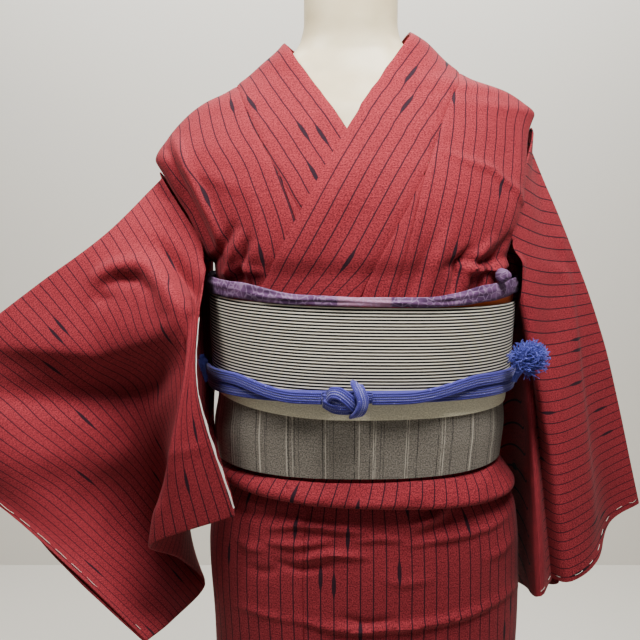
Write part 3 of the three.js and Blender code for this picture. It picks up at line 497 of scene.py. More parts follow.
def colour(r, g, b):
    """A colour of 0 to 255 parts as the shader's linear one."""
    def line(v):
        v /= 255
        return v / 12.92 if v <= 0.04045 else ((v + 0.055) / 1.055) ** 2.4
    return (line(r), line(g), line(b), 1.0)


def new_group(name, inputs, outputs):
    tree = bpy.data.node_groups.new(name, "ShaderNodeTree")
    for label, kind, value in inputs:
        socket = tree.interface.new_socket(name=label, in_out="INPUT", socket_type=kind)
        if value is not None:
            socket.default_value = value
    for label, kind in outputs:
        tree.interface.new_socket(name=label, in_out="OUTPUT", socket_type=kind)
    given = tree.nodes.new("NodeGroupInput").outputs
    return tree, Nodes(tree), given, tree.nodes.new("NodeGroupOutput").inputs


FLOAT, VECTOR = "NodeSocketFloat", "NodeSocketVector"
HALF_TURN = 3.1416       # one thread over, the next one under


def thread_group():
    """Slubbed plain weave on cloth coordinates in metres: tone of the threads, specks, height."""
    tree, n, given, out = new_group("woven threads", [
        ("Cloth", VECTOR, None), ("Thread", FLOAT, 0.0006), ("Slub", FLOAT, 0.5)],
        [("Tone", FLOAT), ("Weft", FLOAT), ("Specks", FLOAT), ("Height", FLOAT)])
    u, v = [n.over(part, given["Thread"]) for part in n.split(given["Cloth"])]

    def cloud(across, along, layer, detail, roughness):
        place = n.vector(n.times(u, across), n.times(v, along), layer)
        return n.noise(place, 1.0, detail, roughness)
    heather = cloud(0.45, 0.45, 0.0, 2.0, 0.6)
    weft = cloud(0.03, 0.8, 0.0, 2.0, 0.6)
    slub = n.times(cloud(0.05, 0.35, 7.0, 1.0, 0.5), given["Slub"])
    speck = cloud(0.22, 0.32, 31.0, 1.0, 0.4)
    n.plug(heather, out["Tone"])
    n.plug(n.plus(n.times(weft, 0.6), n.times(slub, 0.8)), out["Weft"])
    n.plug(n.ramp(speck, 0.70, 0.78), out["Specks"])
    rib = n.plus(*[n.math("SINE", n.times(part, HALF_TURN)) for part in (v, u)])
    n.plug(n.plus(n.times(rib, 0.12), n.plus(heather, slub)), out["Height"])
    return tree


THREADS = thread_group()
THREAD_HEIGHT = 0.0004


def stripe_group():
    """Warp stripes with tapered resist-dyed dashes, on cloth coordinates in metres."""
    tree, n, given, out = new_group("dashed stripes", [
        ("Cloth", VECTOR, None), ("Pitch", FLOAT, 0.0128), ("Line", FLOAT, 0.0006), ("Dash", FLOAT, 0.0014),
        ("Repeat", FLOAT, 0.17), ("Share", FLOAT, 0.3), ("Fray", FLOAT, 0.0)], [("Mask", FLOAT)])
    across, along = n.split(given["Cloth"])
    cell = n.over(across, given["Pitch"])
    stripe = n.math("FLOOR", cell)
    away = n.times(n.off_centre(cell), given["Pitch"])
    shift = n.times(n.chance(n.vector(stripe, 3.0, 1.0)), 7.0)
    place = n.plus(n.over(along, given["Repeat"]), shift)
    dash = n.math("FLOOR", place)
    picked = n.math("LESS_THAN", n.chance(n.vector(stripe, dash, 5.0)), given["Share"])
    middle = n.plus(0.25, n.times(n.chance(n.vector(stripe, dash, 9.0)), 0.5))
    from_middle = n.times(n.gap(n.math("FRACT", place), middle), given["Repeat"])
    full = n.times(n.ramp(from_middle, 0.015, 0.003), picked)
    half = n.plus(given["Line"], n.times(full, given["Dash"]))
    half = n.plus(half, n.times(n.minus(given["Fray"], 0.5), 0.0007))
    n.plug(n.ramp(n.minus(half, away), -0.00025, 0.00025), out["Mask"])
    return tree


STRIPES = stripe_group()


def new_material(name):
    """A material, a helper for its nodes, and its shader's inputs."""
    material = bpy.data.materials.new(name)
    material.use_nodes = True
    return material, Nodes(material.node_tree), material.node_tree.nodes["Principled BSDF"].inputs


def raise_surface(n, looks, height, strength, distance):
    """Bump from a height."""
    lift = n.add("ShaderNodeBump")
    lift.inputs["Strength"].default_value = strength
    lift.inputs["Distance"].default_value = distance
    n.plug(height, lift.inputs["Height"])
    n.plug(lift.outputs[0], looks["Normal"])


def cloth_material(name, paint, sheen=0.2, rough=0.78, bump=0.35, thread=0.0006):
    """A cloth: paint(nodes, cloth, threads) gives its colour from the cloth coordinates."""
    material, n, looks = new_material(name)
    cloth = n.add("ShaderNodeUVMap", uv_map="cloth").outputs[0]
    threads = n.group(THREADS, Cloth=cloth, Thread=thread)
    n.plug(paint(n, cloth, threads), looks["Base Color"])
    looks["Roughness"].default_value = rough
    looks["Specular IOR Level"].default_value = 0.12
    looks["Sheen Weight"].default_value = sheen
    looks["Sheen Roughness"].default_value = 0.45
    raise_surface(n, looks, threads["Height"], bump, THREAD_HEIGHT)
    return material


def paint_silk(n, cloth, threads):
    base = n.shades(n.ramp(threads["Tone"], 0.3, 0.7), (84, 22, 30), (154, 50, 58))
    base = n.tint(base, n.ramp(threads["Weft"], 0.42, 0.75), 0.45, (60, 14, 22))
    base = n.tint(base, threads["Specks"], 0.6, (40, 12, 20))
    mask = n.group(STRIPES, Cloth=cloth, Fray=threads["Tone"])["Mask"]
    return n.tint(base, mask, 0.93, (20, 18, 28))


def paint_obi_stripe(n, cloth, threads):
    across, along = n.split(cloth)
    drift = n.times(n.noise(n.vector(across, 0.0, 2.0), 12.0, 1.0), 0.0006)
    away = n.off_centre(n.over(n.plus(along, drift), OBI_PITCH * MM))
    cream = n.shades(threads["Tone"], (206, 199, 180), (234, 228, 214))
    dark = n.shades(threads["Tone"], (6, 5, 6), (24, 20, 20))
    return n.blend(n.ramp(away, 0.225, 0.165), dark, cream)


def paint_obi_cream(n, cloth, threads):
    base = n.shades(n.ramp(threads["Tone"], 0.25, 0.75), (192, 185, 158), (240, 233, 208))
    return n.tint(base, n.ramp(threads["Weft"], 0.45, 0.8), 0.28, (150, 142, 114))


OBI_CHECK = 0.034           # one repeat of the grey obi's check, in metres
OBI_CHECK_LINES = [         # place in the repeat, colour, strength
    (0.008, (30, 28, 30), 0.8), (0.0105, (214, 206, 190), 0.6), (0.0135, (206, 198, 182), 0.45),
    (0.019, (36, 34, 36), 0.6), (0.0205, (36, 34, 36), 0.5),
]


def paint_obi_grey(n, cloth, threads):
    across, along = n.split(cloth)
    base = n.shades(n.ramp(threads["Tone"], 0.3, 0.7), (84, 79, 74), (146, 139, 128))
    base = n.tint(base, n.ramp(threads["Weft"], 0.45, 0.8), 0.6, (70, 64, 62))
    cell = n.over(across, OBI_CHECK)
    number = n.math("FLOOR", cell)
    inside = n.times(n.math("FRACT", cell), OBI_CHECK)
    broken = n.noise(n.vector(n.times(across, 900.0), n.times(along, 60.0)), 1.0)
    for k, (at, paint, strength) in enumerate(OBI_CHECK_LINES):
        moved = n.times(n.chance(n.vector(number, float(k), 4.0)), 0.006)
        away = n.gap(n.minus(inside, at), moved)
        line = n.times(n.ramp(away, 0.0007, 0.0002), n.ramp(broken, 0.32, 0.5))
        base = n.tint(base, line, strength, paint)
    return base


def paint_sash(n, cloth, threads):
    """Purple with a net of pale tied rings, and a pale patch at the sash's end."""
    net = n.add("ShaderNodeTexVoronoi", feature="DISTANCE_TO_EDGE")
    n.plug(cloth, net.inputs["Vector"])
    net.inputs["Scale"].default_value = 135.0
    base = n.shades(n.ramp(n.noise(cloth, 38.0, 2.0), 0.35, 0.65), (64, 40, 70), (98, 68, 102))
    from_end = n.gap(n.split(cloth)[0], 0.003)
    base = n.blend(n.ramp(from_end, 0.026, 0.0235), base, colour(138, 98, 122))
    return n.tint(base, n.ramp(net.outputs[0], 0.10, 0.02), 0.36, (156, 132, 162))


def plain_paint(dark, light):
    return lambda n, cloth, threads: n.shades(threads["Tone"], dark, light)


def paint_cord(n, cloth, threads):
    """Cloth coordinates on a braid: metres across its face and metres along it."""
    across, length = n.split(cloth)
    rib, along = n.over(across, CORD_RIB * MM), n.over(length, CORD_PLAIT * MM)
    plait = n.math("FRACT", n.plus(along, n.math("PINGPONG", rib, 1.0)))
    base = n.shades(n.ramp(plait, 0.1, 0.75), (28, 26, 84), (70, 66, 150))
    groove = n.gap(n.gap(rib, 2.5), 0.5)
    bead = n.times(n.ramp(groove, 0.24, 0.12), n.ramp(n.math("FRACT", along), 0.45, 0.6))
    base = n.tint(base, bead, 0.75, (176, 176, 216))
    return n.tint(base, threads["Specks"], 0.6, (150, 152, 206))


OBI_PITCH, CORD_RIB, CORD_PLAIT = 3.05, 2.4, 1.9
SILK = cloth_material("striped kimono silk", paint_silk, sheen=0.02, rough=0.86, bump=0.2)
LINING = cloth_material("pale lining silk", plain_paint((222, 217, 207), (240, 237, 230)), rough=0.7)
OBI_STRIPE = cloth_material("fine striped obi", paint_obi_stripe, sheen=0.05, rough=0.75, bump=0.3)
OBI_CREAM = cloth_material("cream obi weave", paint_obi_cream, sheen=0.02, rough=0.8, bump=0.25)
OBI_GREY = cloth_material("grey slubbed obi weave", paint_obi_grey, sheen=0.02, rough=0.82, bump=0.25)
ORANGE = cloth_material("orange obi edge", plain_paint((222, 92, 44), (244, 124, 70)), rough=0.65)
SASH = cloth_material("tie-dyed sash silk", paint_sash, sheen=0.02, rough=0.75, bump=0.25)
CORD = cloth_material("blue ribbed braid", paint_cord, sheen=0.2, rough=0.55, bump=0.5, thread=0.0007)
TASSEL = cloth_material("blue tassel thread", plain_paint((52, 56, 140), (104, 108, 200)), sheen=0.1,
                        rough=0.5)
THREAD = cloth_material("white basting thread", plain_paint((206, 200, 188), (226, 221, 210)), rough=0.8)


# ------------------------------------------------------------------ upper body
LINE_STEP = 16          # samples of a seam line to each of its rows
LINE_SOFT = 0.16         # how far kinks in it are eased, in rows


def edge_line(rows, key, side, tip=None):
    """A seam line as a function of the station: angle and height. Up to the ridge it runs smoothly
    in x and height."""
    points = np.array([(angle_of(row[key], row[-1], side), row[key][1]) for row in rows], float)
    last = max(k for k, row in enumerate(rows) if row[-1] != "back")
    station = np.arange((len(points) - 1) * LINE_STEP + 1) / LINE_STEP
    dense = through(points, station)
    front = through(np.array([row[key] for row in rows[:last + 1]], float), station[station <= last])
    for k, (x, z) in enumerate(front):
        dense[k] = angle_of((x, z), "front", side), z
    reach = np.arange(-LINE_STEP, LINE_STEP + 1)
    weight = np.exp(-0.5 * (reach / (LINE_SOFT * LINE_STEP)) ** 2)
    longer = np.concatenate([2 * dense[0] - dense[LINE_STEP:0:-1], dense,
                             2 * dense[-1] - dense[-2:-LINE_STEP - 2:-1]])
    soft = np.stack([np.convolve(longer[:, k], weight / weight.sum(), "valid") for k in range(2)], axis=-1)
    if tip is not None:
        soft += (tip - soft[-1]) * ease(station / station[-1])[:, None]

    def line(at):
        at = np.asarray(at, float) * LINE_STEP
        return np.stack([np.interp(at, np.arange(len(soft)), soft[:, k]) for k in range(2)], axis=-1)
    return line


class Side:
    """One side of the upper body: its seam lines, and places on its surface between two lines."""

    def __init__(self, collar, panel, side, lap):
        self.side, self.lap = side, lap
        self.neck = edge_line(collar, 0, side)
        self.seam = edge_line(collar, 1, side)
        self.armhole = edge_line(panel, 1, side)
        self.overlap = edge_line([*panel[:KEN_SAKI], (collar[KEN_SAKI][1], None, "front")], 0, side,
                                 self.seam(KEN_SAKI))
        back = [self.seam(NAPE)[1]] + [row[0][1] for row in panel[NAPE + 1:]]
        self.back = np.array([(180.0 * side, z) for z in back])

    def middle(self, station):
        station = np.asarray(station, float)
        down = np.clip(station - NAPE, 0, len(self.back) - 1)
        i = np.clip(np.floor(down), 0, len(self.back) - 2).astype(int)
        back = mix(self.back[i], self.back[i + 1], (down - i)[..., None])
        low = station[..., None] < KEN_SAKI
        high = station[..., None] <= NAPE
        front = self.overlap(np.minimum(station, KEN_SAKI))
        return np.where(low, front, np.where(high, self.seam(np.minimum(station, NAPE)), back))

    def place(self, a, b, share):
        angle, z = np.moveaxis(mix(a, b, share), -1, 0)
        lift = LAP_LIFT * ease((LAP_FROM - angle) / (LAP_FROM - LAP_FULL)) if self.lap else 0.0
        return on_section(BODY, angle, z, lift)


LEFT = Side(COLLAR_LEFT, PANEL_LEFT, 1, True)
RIGHT = Side(COLLAR_RIGHT, PANEL_RIGHT, -1, False)


def strip_points(side, inside, outside, last, across, steps):
    """Grid of points between two seam lines, kept a little inside each."""
    station = np.linspace(0, last, steps + 1)
    a, b = inside(station), outside(station)
    wide = np.linalg.norm(side.place(a, b, 0.0) - side.place(a, b, 1.0), axis=-1)
    inset = np.minimum(WIDEST_INSET, SEAM_INSET / wide)
    share = mix(inset, 1 - inset, np.linspace(0, 1, across + 1)[:, None])
    points = side.place(a[None], b[None], share[..., None])
    on_centre = side.side * np.maximum(points[0, :, 0] * side.side, SEAM_GAP)
    points[0, :, 0] = np.where(station >= NAPE, on_centre, points[0, :, 0])
    return points, station


# Marks seen from the front: line in the 640 wide frame, height, half widths right and left of its way.
BODY_MARKS = {
    "left_body": [
        ([(440, 152), (466, 162), (490, 170), (512, 190), (524, 212)], 1.3, 2.2, 4.5),
        ([(505, 258), (484, 264), (462, 262), (446, 268)], -3.0, 6, 6),
        ([(509, 262), (494, 268), (476, 268), (459, 266)], 4.0, 5, 4),
        ([(452, 292), (456, 276), (460, 262), (470, 248)], -3.2, 3.2, 4.0),
        ([(463, 292), (466, 274), (476, 258), (492, 240)], 2.4, 4, 4),
        ([(478, 292), (484, 274), (497, 254), (508, 236)], -2.2, 4, 4),
        ([(428, 294), (438, 262), (452, 226)], 1.6, 7, 8), ([(410, 296), (420, 268), (432, 240)], -1.5, 6, 6),
        ([(520, 128), (518, 180), (510, 236)], 1.5, 8, 8), ([(398, 292), (404, 262), (420, 206)], 0.9, 6, 8),
    ],
    "right_body": [
        ([(175, 140), (196, 184), (214, 222), (224, 252)], 2.6, 4, 5),
        ([(168, 150), (186, 196), (206, 236), (220, 262)], -2.6, 4, 4),
        ([(210, 268), (222, 250), (234, 226)], -2.4, 4, 5), ([(230, 280), (232, 262), (240, 236)], 2.6, 4, 4),
        ([(243, 286), (241, 264), (248, 240)], -2.4, 4, 4), ([(254, 288), (250, 268), (256, 246)], 2.0, 4, 4),
        ([(222, 274), (240, 266), (262, 272)], 2.2, 5, 5), ([(184, 166), (212, 178), (246, 190)], 0.9, 8, 8),
        ([(266, 290), (262, 262), (258, 226), (248, 180)], 0.8, 8, 8),
    ],
    "left_overlap": [([(392, 290), (400, 262), (410, 222)], 0.8, 6, 6)],
    "right_overlap": [([(282, 214), (276, 196)], 0.6, 5, 5)],
    "collar": [
        ([(300, 262), (330, 206), (360, 152)], 0.8, 14, 14),
        ([(322, 108), (330, 120), (338, 134)], 0.6, 5, 5),
        ([(345, 250), (352, 226), (366, 196)], -0.7, 12, 12),
    ],
}
# Marks on the back: line as (x, height), height, half widths.
BACK_MARKS = [
    ([(-120, 1100), (-96, 1130), (-66, 1180)], 2.2, 7, 8),
    ([(-132, 1098), (-124, 1140), (-110, 1186)], -2.0, 6, 6),
    ([(104, 1100), (92, 1136), (60, 1174)], 2.4, 7, 8),
    ([(128, 1100), (122, 1140), (112, 1200)], -2.0, 7, 6),
    ([(30, 1096), (36, 1124), (28, 1160)], 1.4, 6, 6), ([(-24, 1096), (-30, 1122), (-44, 1150)], 1.3, 6, 7),
    ([(-150, 1180), (-110, 1210), (-60, 1224)], 1.4, 10, 12),
    ([(70, 1236), (110, 1216), (150, 1180)], 1.3, 10, 12),
]
BODY_CREASES_DEEP, SKIRT_CREASES_DEEP = 2.2, 2.6      # how much deeper than the marks say


def front_share(points):
    """1 on the front, 0 on the back, with a soft change at the sides."""
    return ease((20 - points[..., 1]) / 40)


def pressed(points, front_marks, seed, back_marks=(), rough=0.5):
    """Height of creases and slight waves for a grid of points on the body."""
    height = ripple(points, 70, seed) * rough
    height += crease_height(in_view(points), front_marks) * front_share(points) * BODY_CREASES_DEEP
    if len(back_marks):
        height += crease_height(points[..., [0, 2]], back_marks) * ease((points[..., 1] - 20) / 40)
    return height


def cloth_piece(name, node, slot, lifted, uv, wall, material, closed=False):
    """A piece of cloth in place of its node. Its cut is that of the points, before creases lift them."""
    piece = belongs(shell(name, lifted, uv, wall, material, closed=closed), slot, node)


def body_piece(node, side, inside, outside, last, across, steps, grain, seed):
    across, steps = round(across * DENSE), round(steps * DENSE)
    points, station = strip_points(side, inside, outside, last, across, steps)
    width = run_length(points, 0)
    total = width[-1]
    if grain == "armhole":       # straight grain from the armhole above the pointed top, from the seam below
        tip = total[np.argmin(np.abs(station - KEN_SAKI))]
        u = np.where(station[None] >= KEN_SAKI, tip - (total[None] - width), width)
    else:
        u = width - total[None]
    height = pressed(points, BODY_MARKS[node], seed, BACK_MARKS)
    height += edge_roll(np.linspace(0, 1, across + 1)[:, None], total[None], 0.9)
    uv = paired(u + seed * 3.7, run_length(points, 1))
    cloth_piece(node + "_panel", node, "silk", lay(points, height), uv, CLOTH, SILK)


PANEL_LAST, OVERLAP_LAST = len(PANEL_LEFT) - 1, 2.93
DENSE = 2.5
for row in (
        ("left_body", LEFT, LEFT.middle, LEFT.armhole, PANEL_LAST, 22, 66, "armhole", 3),
        ("right_body", RIGHT, RIGHT.middle, RIGHT.armhole, PANEL_LAST, 22, 66, "armhole", 5),
        ("left_overlap", LEFT, LEFT.seam, LEFT.overlap, OVERLAP_LAST, 8, 26, "seam", 7),
        ("right_overlap", RIGHT, RIGHT.seam, RIGHT.overlap, OVERLAP_LAST, 8, 26, "seam", 9)):
    body_piece(*row)


def collar_piece():
    across, steps = round(9 * DENSE), round(56 * DENSE)
    station = np.linspace(0, NAPE, steps + 1)
    share = np.linspace(0, 1 - SEAM_GAP / 45, across + 1)[:, None, None]
    halves = [side.place(side.neck(station)[None], side.seam(station)[None], share) for side in (LEFT, RIGHT)]
    points = np.concatenate([halves[0], halves[1][:, -2::-1]], axis=1)
    width = run_length(points, 0)
    flat_share = np.linspace(0, 1, across + 1)[:, None]
    height = pressed(points, BODY_MARKS["collar"], 11, rough=0.35)
    height += edge_roll(flat_share, width[-1][None], 1.1, 5)
    uv = paired(width - 4, run_length(points, 1))
    cloth_piece("collar_band", "collar", "silk", lay(points, height), uv, COLLAR_WALL, SILK)


collar_piece()


# ------------------------------------------------------------------ skirt
HEM, SKIRT_TOP, UNDER_LAYER = 36, 950, 6
WRAP = [
    ("left_overlap_skirt", -93, -17), ("left_front_skirt", -17, 97), ("left_back_skirt", 97, 180),
    ("right_back_skirt", 180, 263), ("right_front_skirt", 263, 372), ("right_overlap_skirt", 372, 448),
]
SKIRT_MARKS = [
    ([(270, 528), (300, 524), (336, 529), (366, 533)], 1.6, 3.0, 3.5),
    ([(268, 542), (296, 545), (330, 541)], 1.3, 3, 3), ([(298, 560), (330, 554), (366, 557)], 1.5, 3, 3.5),
    ([(330, 566), (300, 570), (276, 562)], -1.2, 4, 4), ([(356, 541), (380, 538), (402, 540)], 1.1, 3, 3),
    ([(408, 546), (440, 540), (470, 534), (490, 528), (506, 517)], 1.2, 2.2, 4.5),
    ([(412, 528), (432, 518), (446, 506)], 1.8, 6, 5), ([(420, 536), (444, 524), (456, 508)], -1.2, 6, 6),
    ([(238, 606), (262, 614), (292, 621)], 0.8, 2, 4),
    ([(298, 621), (330, 629), (356, 631), (400, 628), (442, 622), (472, 614), (496, 602), (513, 589)],
     1.7, 2.0, 5.0),
    ([(340, 617), (366, 624), (392, 620)], -0.9, 4, 4), ([(238, 540), (250, 548), (266, 550)], 0.9, 4, 5),
    ([(486, 560), (500, 552), (512, 538)], 0.9, 4, 5), ([(246, 566), (262, 572), (282, 570)], -0.8, 5, 5),
    ([(384, 580), (404, 584), (430, 580)], 0.6, 4, 5), ([(236, 508), (262, 514), (290, 514)], -1.2, 6, 5),
]
SKIRT_LOW = [     # below what the camera frames, and round the sides and back: (turn, height)
    ([(-60, 560), (-20, 548), (18, 556)], 1.4, 7, 16), ([(20, 430), (50, 442), (84, 436)], 1.1, 7, 14),
    ([(-70, 330), (-44, 318), (-10, 326)], 1.0, 8, 16), ([(110, 780), (140, 800), (168, 796)], 1.6, 8, 14),
    ([(200, 802), (226, 788), (250, 806)], 1.5, 8, 14), ([(120, 600), (160, 590), (214, 604)], 1.4, 7, 15),
    ([(186, 470), (210, 478), (246, 470)], 1.2, 7, 14), ([(96, 640), (116, 652), (136, 640)], 1.2, 7, 12),
    ([(96, 240), (130, 228), (150, 236)], 0.9, 8, 16), ([(224, 300), (244, 310), (262, 300)], 0.9, 8, 14),
]
CLOSE_FROM, KNEE = 735, 700         # the mesh is finer above the first; stripes are spaced at the second
TURN_TO_MM = 2.6                    # how far a degree of turn runs on the skirt
SEAM_TURN = 0.12                    # degrees that a panel keeps from its seam
SHOWN_DENSE, HIDDEN_DENSE = 1.1, 0.7        # mesh columns to a degree
# In degrees of turn: where the under layer starts to sink in and over how far, where the front's marks
# end, and where the layer under the lap is kept flat.
UNDER_FROM, UNDER_TURN, MARKED_TO, FLAT_FROM = 90, 170, 110, 250


def skirt_piece(node, start, end):
    across = round((end - start) * (SHOWN_DENSE if start < 180 else HIDDEN_DENSE))
    turn = np.linspace(start + SEAM_TURN, end - SEAM_TURN, across + 1)[:, None]
    z = np.concatenate([HEM + np.array([0, 2, 4]), np.linspace(HEM + 6, CLOSE_FROM, 58)[:-1],
                        np.linspace(CLOSE_FROM, SKIRT_TOP, 80)])[None]
    inwards = UNDER_LAYER * np.clip((turn - UNDER_FROM) / UNDER_TURN, 0, 1)
    points = on_section(SKIRT, turn, z, -inwards)
    width = run_length(points, 0)
    unrolled = [TURN_TO_MM, 1.0]
    height = ripple(points, 120, int(start) + 200) * 0.5 + crease_height(
        paired(turn, z) * unrolled,
        [(np.array(line) * unrolled, rise, right, left) for line, rise, right, left in SKIRT_LOW])
    seen = front_share(points) * (turn < MARKED_TO)
    height += crease_height(in_view(points), SKIRT_MARKS) * seen * SKIRT_CREASES_DEEP
    height += edge_roll(np.linspace(0, 1, across + 1)[:, None], width[-1][None], 0.8)
    height = np.where(turn > FLAT_FROM, np.minimum(height, 0.6), height)
    hem_roll = -1.0 * np.clip(1 - (z - HEM) / 6, 0, 1) ** 2
    at_knee = width[:, [np.argmin(np.abs(z[0] - KNEE))]]
    cloth_piece(node + "_panel", node, "silk", lay(points, height + hem_roll),
                paired(at_knee + 2.0, z), CLOTH, SILK)


for node, start, end in WRAP:
    skirt_piece(node, start, end)

# ------------------------------------------------------------------ waist tuck
BELT_LOWER_BOTTOM, TUCK_BOTTOM, TUCK_TILT = 902, 875, 8
TUCK_PATH = [        # measured from the belt's lower edge or the tuck's foot: rise, out
    ("belt", 28, -10.2), ("belt", -2, -10), ("belt", -6, -5.8), ("foot", 9, 0.5), ("foot", 3, 1.5),
    ("foot", 0, -1), ("foot", 3.5, -3.8), ("belt", -4, -9.6), ("belt", 12, -12.6), ("belt", 28, -12.9),
]
TUCK_BULGE_LEFT, TUCK_BULGE_RIGHT = 0, 13
TUCK_INSIDE_FROM, TUCK_GRAIN_LEAN = 4.6, 0.30     # a place along the path, and a slope
TUCK_MARKS = [
    ([(300, 506), (322, 498), (336, 488)], 1.6, 5, 5), ([(342, 508), (356, 500), (366, 486)], -1.6, 5, 5),
    ([(404, 502), (420, 496), (438, 482)], 1.4, 5, 6), ([(470, 494), (484, 484), (496, 466)], 1.4, 5, 6),
    ([(256, 488), (270, 480), (286, 474)], 1.0, 5, 5), ([(380, 500), (392, 494), (402, 484)], -1.0, 5, 5),
]


def tuck_piece():
    columns = 270
    rows = 5 * (len(TUCK_PATH) - 1)
    angle = np.linspace(0, 360, columns + 1)
    across = np.sin(np.radians(angle))
    foot = TUCK_BOTTOM - TUCK_TILT * across
    rise = np.array([(foot + r if start == "foot" else np.full_like(foot, BELT_LOWER_BOTTOM + r))
                     for start, r, _ in TUCK_PATH])
    out = np.array([np.full_like(foot, o) for _, _, o in TUCK_PATH])
    full = 1 - ease((rise - foot) / (BELT_LOWER_BOTTOM - foot))
    out = out + np.where(across > 0, TUCK_BULGE_RIGHT, TUCK_BULGE_LEFT) * across ** 2 * full
    at = np.linspace(0, len(TUCK_PATH) - 1, rows + 1)
    path = through(paired(rise, out), at)
    points = on_section(BELT, angle[None], path[..., 0], path[..., 1])
    outside = (at < TUCK_INSIDE_FROM)[:, None]
    height = (ripple(points, 45, 21) * 0.7 + crease_height(in_view(points), TUCK_MARKS)
              * front_share(points)) * outside * ease(at / 1.5)[:, None]
    lean = (path[..., 0] - foot) * TUCK_GRAIN_LEAN
    walked = run_length(points, 1)[[np.argmin(np.abs(at - 3))]]
    uv = paired(walked - lean, run_length(points, 0))
    cloth_piece("waist_tuck_fold", "waist_tuck", "silk", lay(points, height, True), uv, CLOTH, SILK,
                closed=True)


tuck_piece()


# ------------------------------------------------------------------ sleeves
def sheet_through(rows, s, t):
    """Points on a net of rows, at shares s from first to last row and t along each."""
    net = np.asarray(rows, float)
    lines = through(net, s * (len(net) - 1))
    return through(np.swapaxes(lines, 0, 1), t * (net.shape[1] - 1)).swapaxes(0, 1)


SLEEVE_MARKS = {
    "right": [
        ([(-20, 340), (40, 346), (100, 350), (146, 340), (176, 322)], 16.0, 15, 46),
        ([(-20, 394), (40, 397), (100, 396), (146, 384), (172, 356)], -17.0, 18, 22),
        ([(-20, 452), (40, 456), (100, 454), (146, 446)], 7.0, 24, 24),
        ([(96, 290), (99, 277), (114, 268), (136, 265), (152, 267)], 8.5, 6, 8),
        ([(148, 266), (162, 278), (176, 296), (185, 314), (181, 334)], 12.0, 15, 4.5),
        ([(158, 246), (176, 266), (196, 292), (204, 322)], -19.0, 8, 10),
        ([(104, 284), (118, 278), (140, 279), (158, 294)], -6.5, 7, 4),
        ([(98, 290), (104, 300), (114, 298)], -5.0, 6, 6),
        ([(186, 322), (178, 380), (166, 440), (158, 500)], -9.0, 9, 5),
        ([(184, 222), (196, 246), (206, 270)], 3.0, 7, 8),
        ([(150, 205), (176, 214), (196, 232)], 3.5, 9, 9),
        ([(162, 196), (176, 200), (190, 216)], -3.0, 6, 6),
        ([(124, 232), (150, 244), (176, 252)], -2.6, 10, 10),
        ([(60, 500), (96, 470), (140, 436)], 2.0, 14, 14),
        ([(110, 540), (130, 500), (150, 460)], -1.6, 12, 10),
        ([(128, 395), (132, 430), (128, 462)], 1.2, 6, 3),
        ([(166, 453), (190, 449), (214, 441)], 1.8, 5, 3),
    ],
    "left": [
        ([(561, 238), (565, 268), (570, 300), (577, 373), (582, 419), (589, 488), (592, 522)], 4.5, 7, 4),
        ([(548, 290), (548, 360), (550, 420), (554, 500)], -5.0, 12, 10),
        ([(556, 244), (562, 262), (572, 272)], -3.0, 5, 5),
        ([(536, 260), (548, 268), (564, 272)], 1.4, 4, 4), ([(600, 420), (608, 460), (614, 510)], 2.0, 8, 9),
        ([(604, 520), (600, 540), (594, 560)], -2.5, 6, 6),
        ([(536, 130), (540, 180), (544, 232)], -3.0, 8, 6),
    ],
}
SLEEVE_BACK_MARKS = {
    "right": [
        ([(-220, 1120), (-260, 1060), (-300, 1000)], 4, 16, 18),
        ([(-300, 1040), (-330, 960), (-350, 900)], -4, 16, 16),
        ([(-400, 1000), (-420, 950), (-430, 910)], 3, 14, 16),
        ([(-240, 960), (-250, 900), (-230, 840)], 3, 12, 14),
    ],
    "left": [
        ([(200, 1160), (214, 1080), (224, 990)], 3, 10, 12),
        ([(230, 1040), (246, 960), (262, 880)], -3, 10, 10),
        ([(204, 960), (206, 880), (204, 800)], 2.5, 10, 12),
    ],
}
SLEEVE_SCALE = 1.04         # the sleeves' stripes sit this much closer than the body's
LINING_REACH = 1.9


def sleeve_net(rows, hangs, facing, s, turn, front):
    """Grid of points round a sleeve, and the way out of its front layer."""
    t = 0.5 - 0.5 * np.cos(turn)
    middle = sheet_through(rows, s, t)
    near = 0.004

    def moved(ds, dt):
        return sheet_through(rows, np.clip(s + ds, 0, 1), np.clip(t + dt, 0, 1))
    out = unit(np.cross(moved(near, 0) - moved(-near, 0), moved(0, near) - moved(0, -near))) * facing
    round_fold = out * (SLEEVE_FOLD_RADIUS * np.abs(np.sin(turn)) ** 0.5)[None, :, None]
    back = middle - round_fold
    back[..., :2] += sheet_through(hangs, s, t)
    points = np.where(front[None, :, None], middle + round_fold, back)
    points[:, -1] = points[:, 0]
    return stand_off(SLEEVE_CLEAR, points), out


def lining_piece(key, rows, first, last):
    t = np.linspace(first, last, 91)
    edge = sheet_through(rows, np.array([0.0]), t)[0]
    way = unit(edge - sheet_through(rows, np.array([0.03]), t)[0])
    reach = np.linspace(0, LINING_REACH, 5)[:, None, None]
    points = edge[None] + way[None] * (1 + reach)
    points = points + ripple(points, 24, 5)[..., None] * 0.5 * (way[None] * reach + np.array([0, 1, 0]))
    uv = paired(run_length(points, 0), run_length(points, 1))
    node = key + "_sleeve_lining"
    return belongs(shell(node + "_edge", points, uv, EDGE_WALL, LINING), "lining", node)


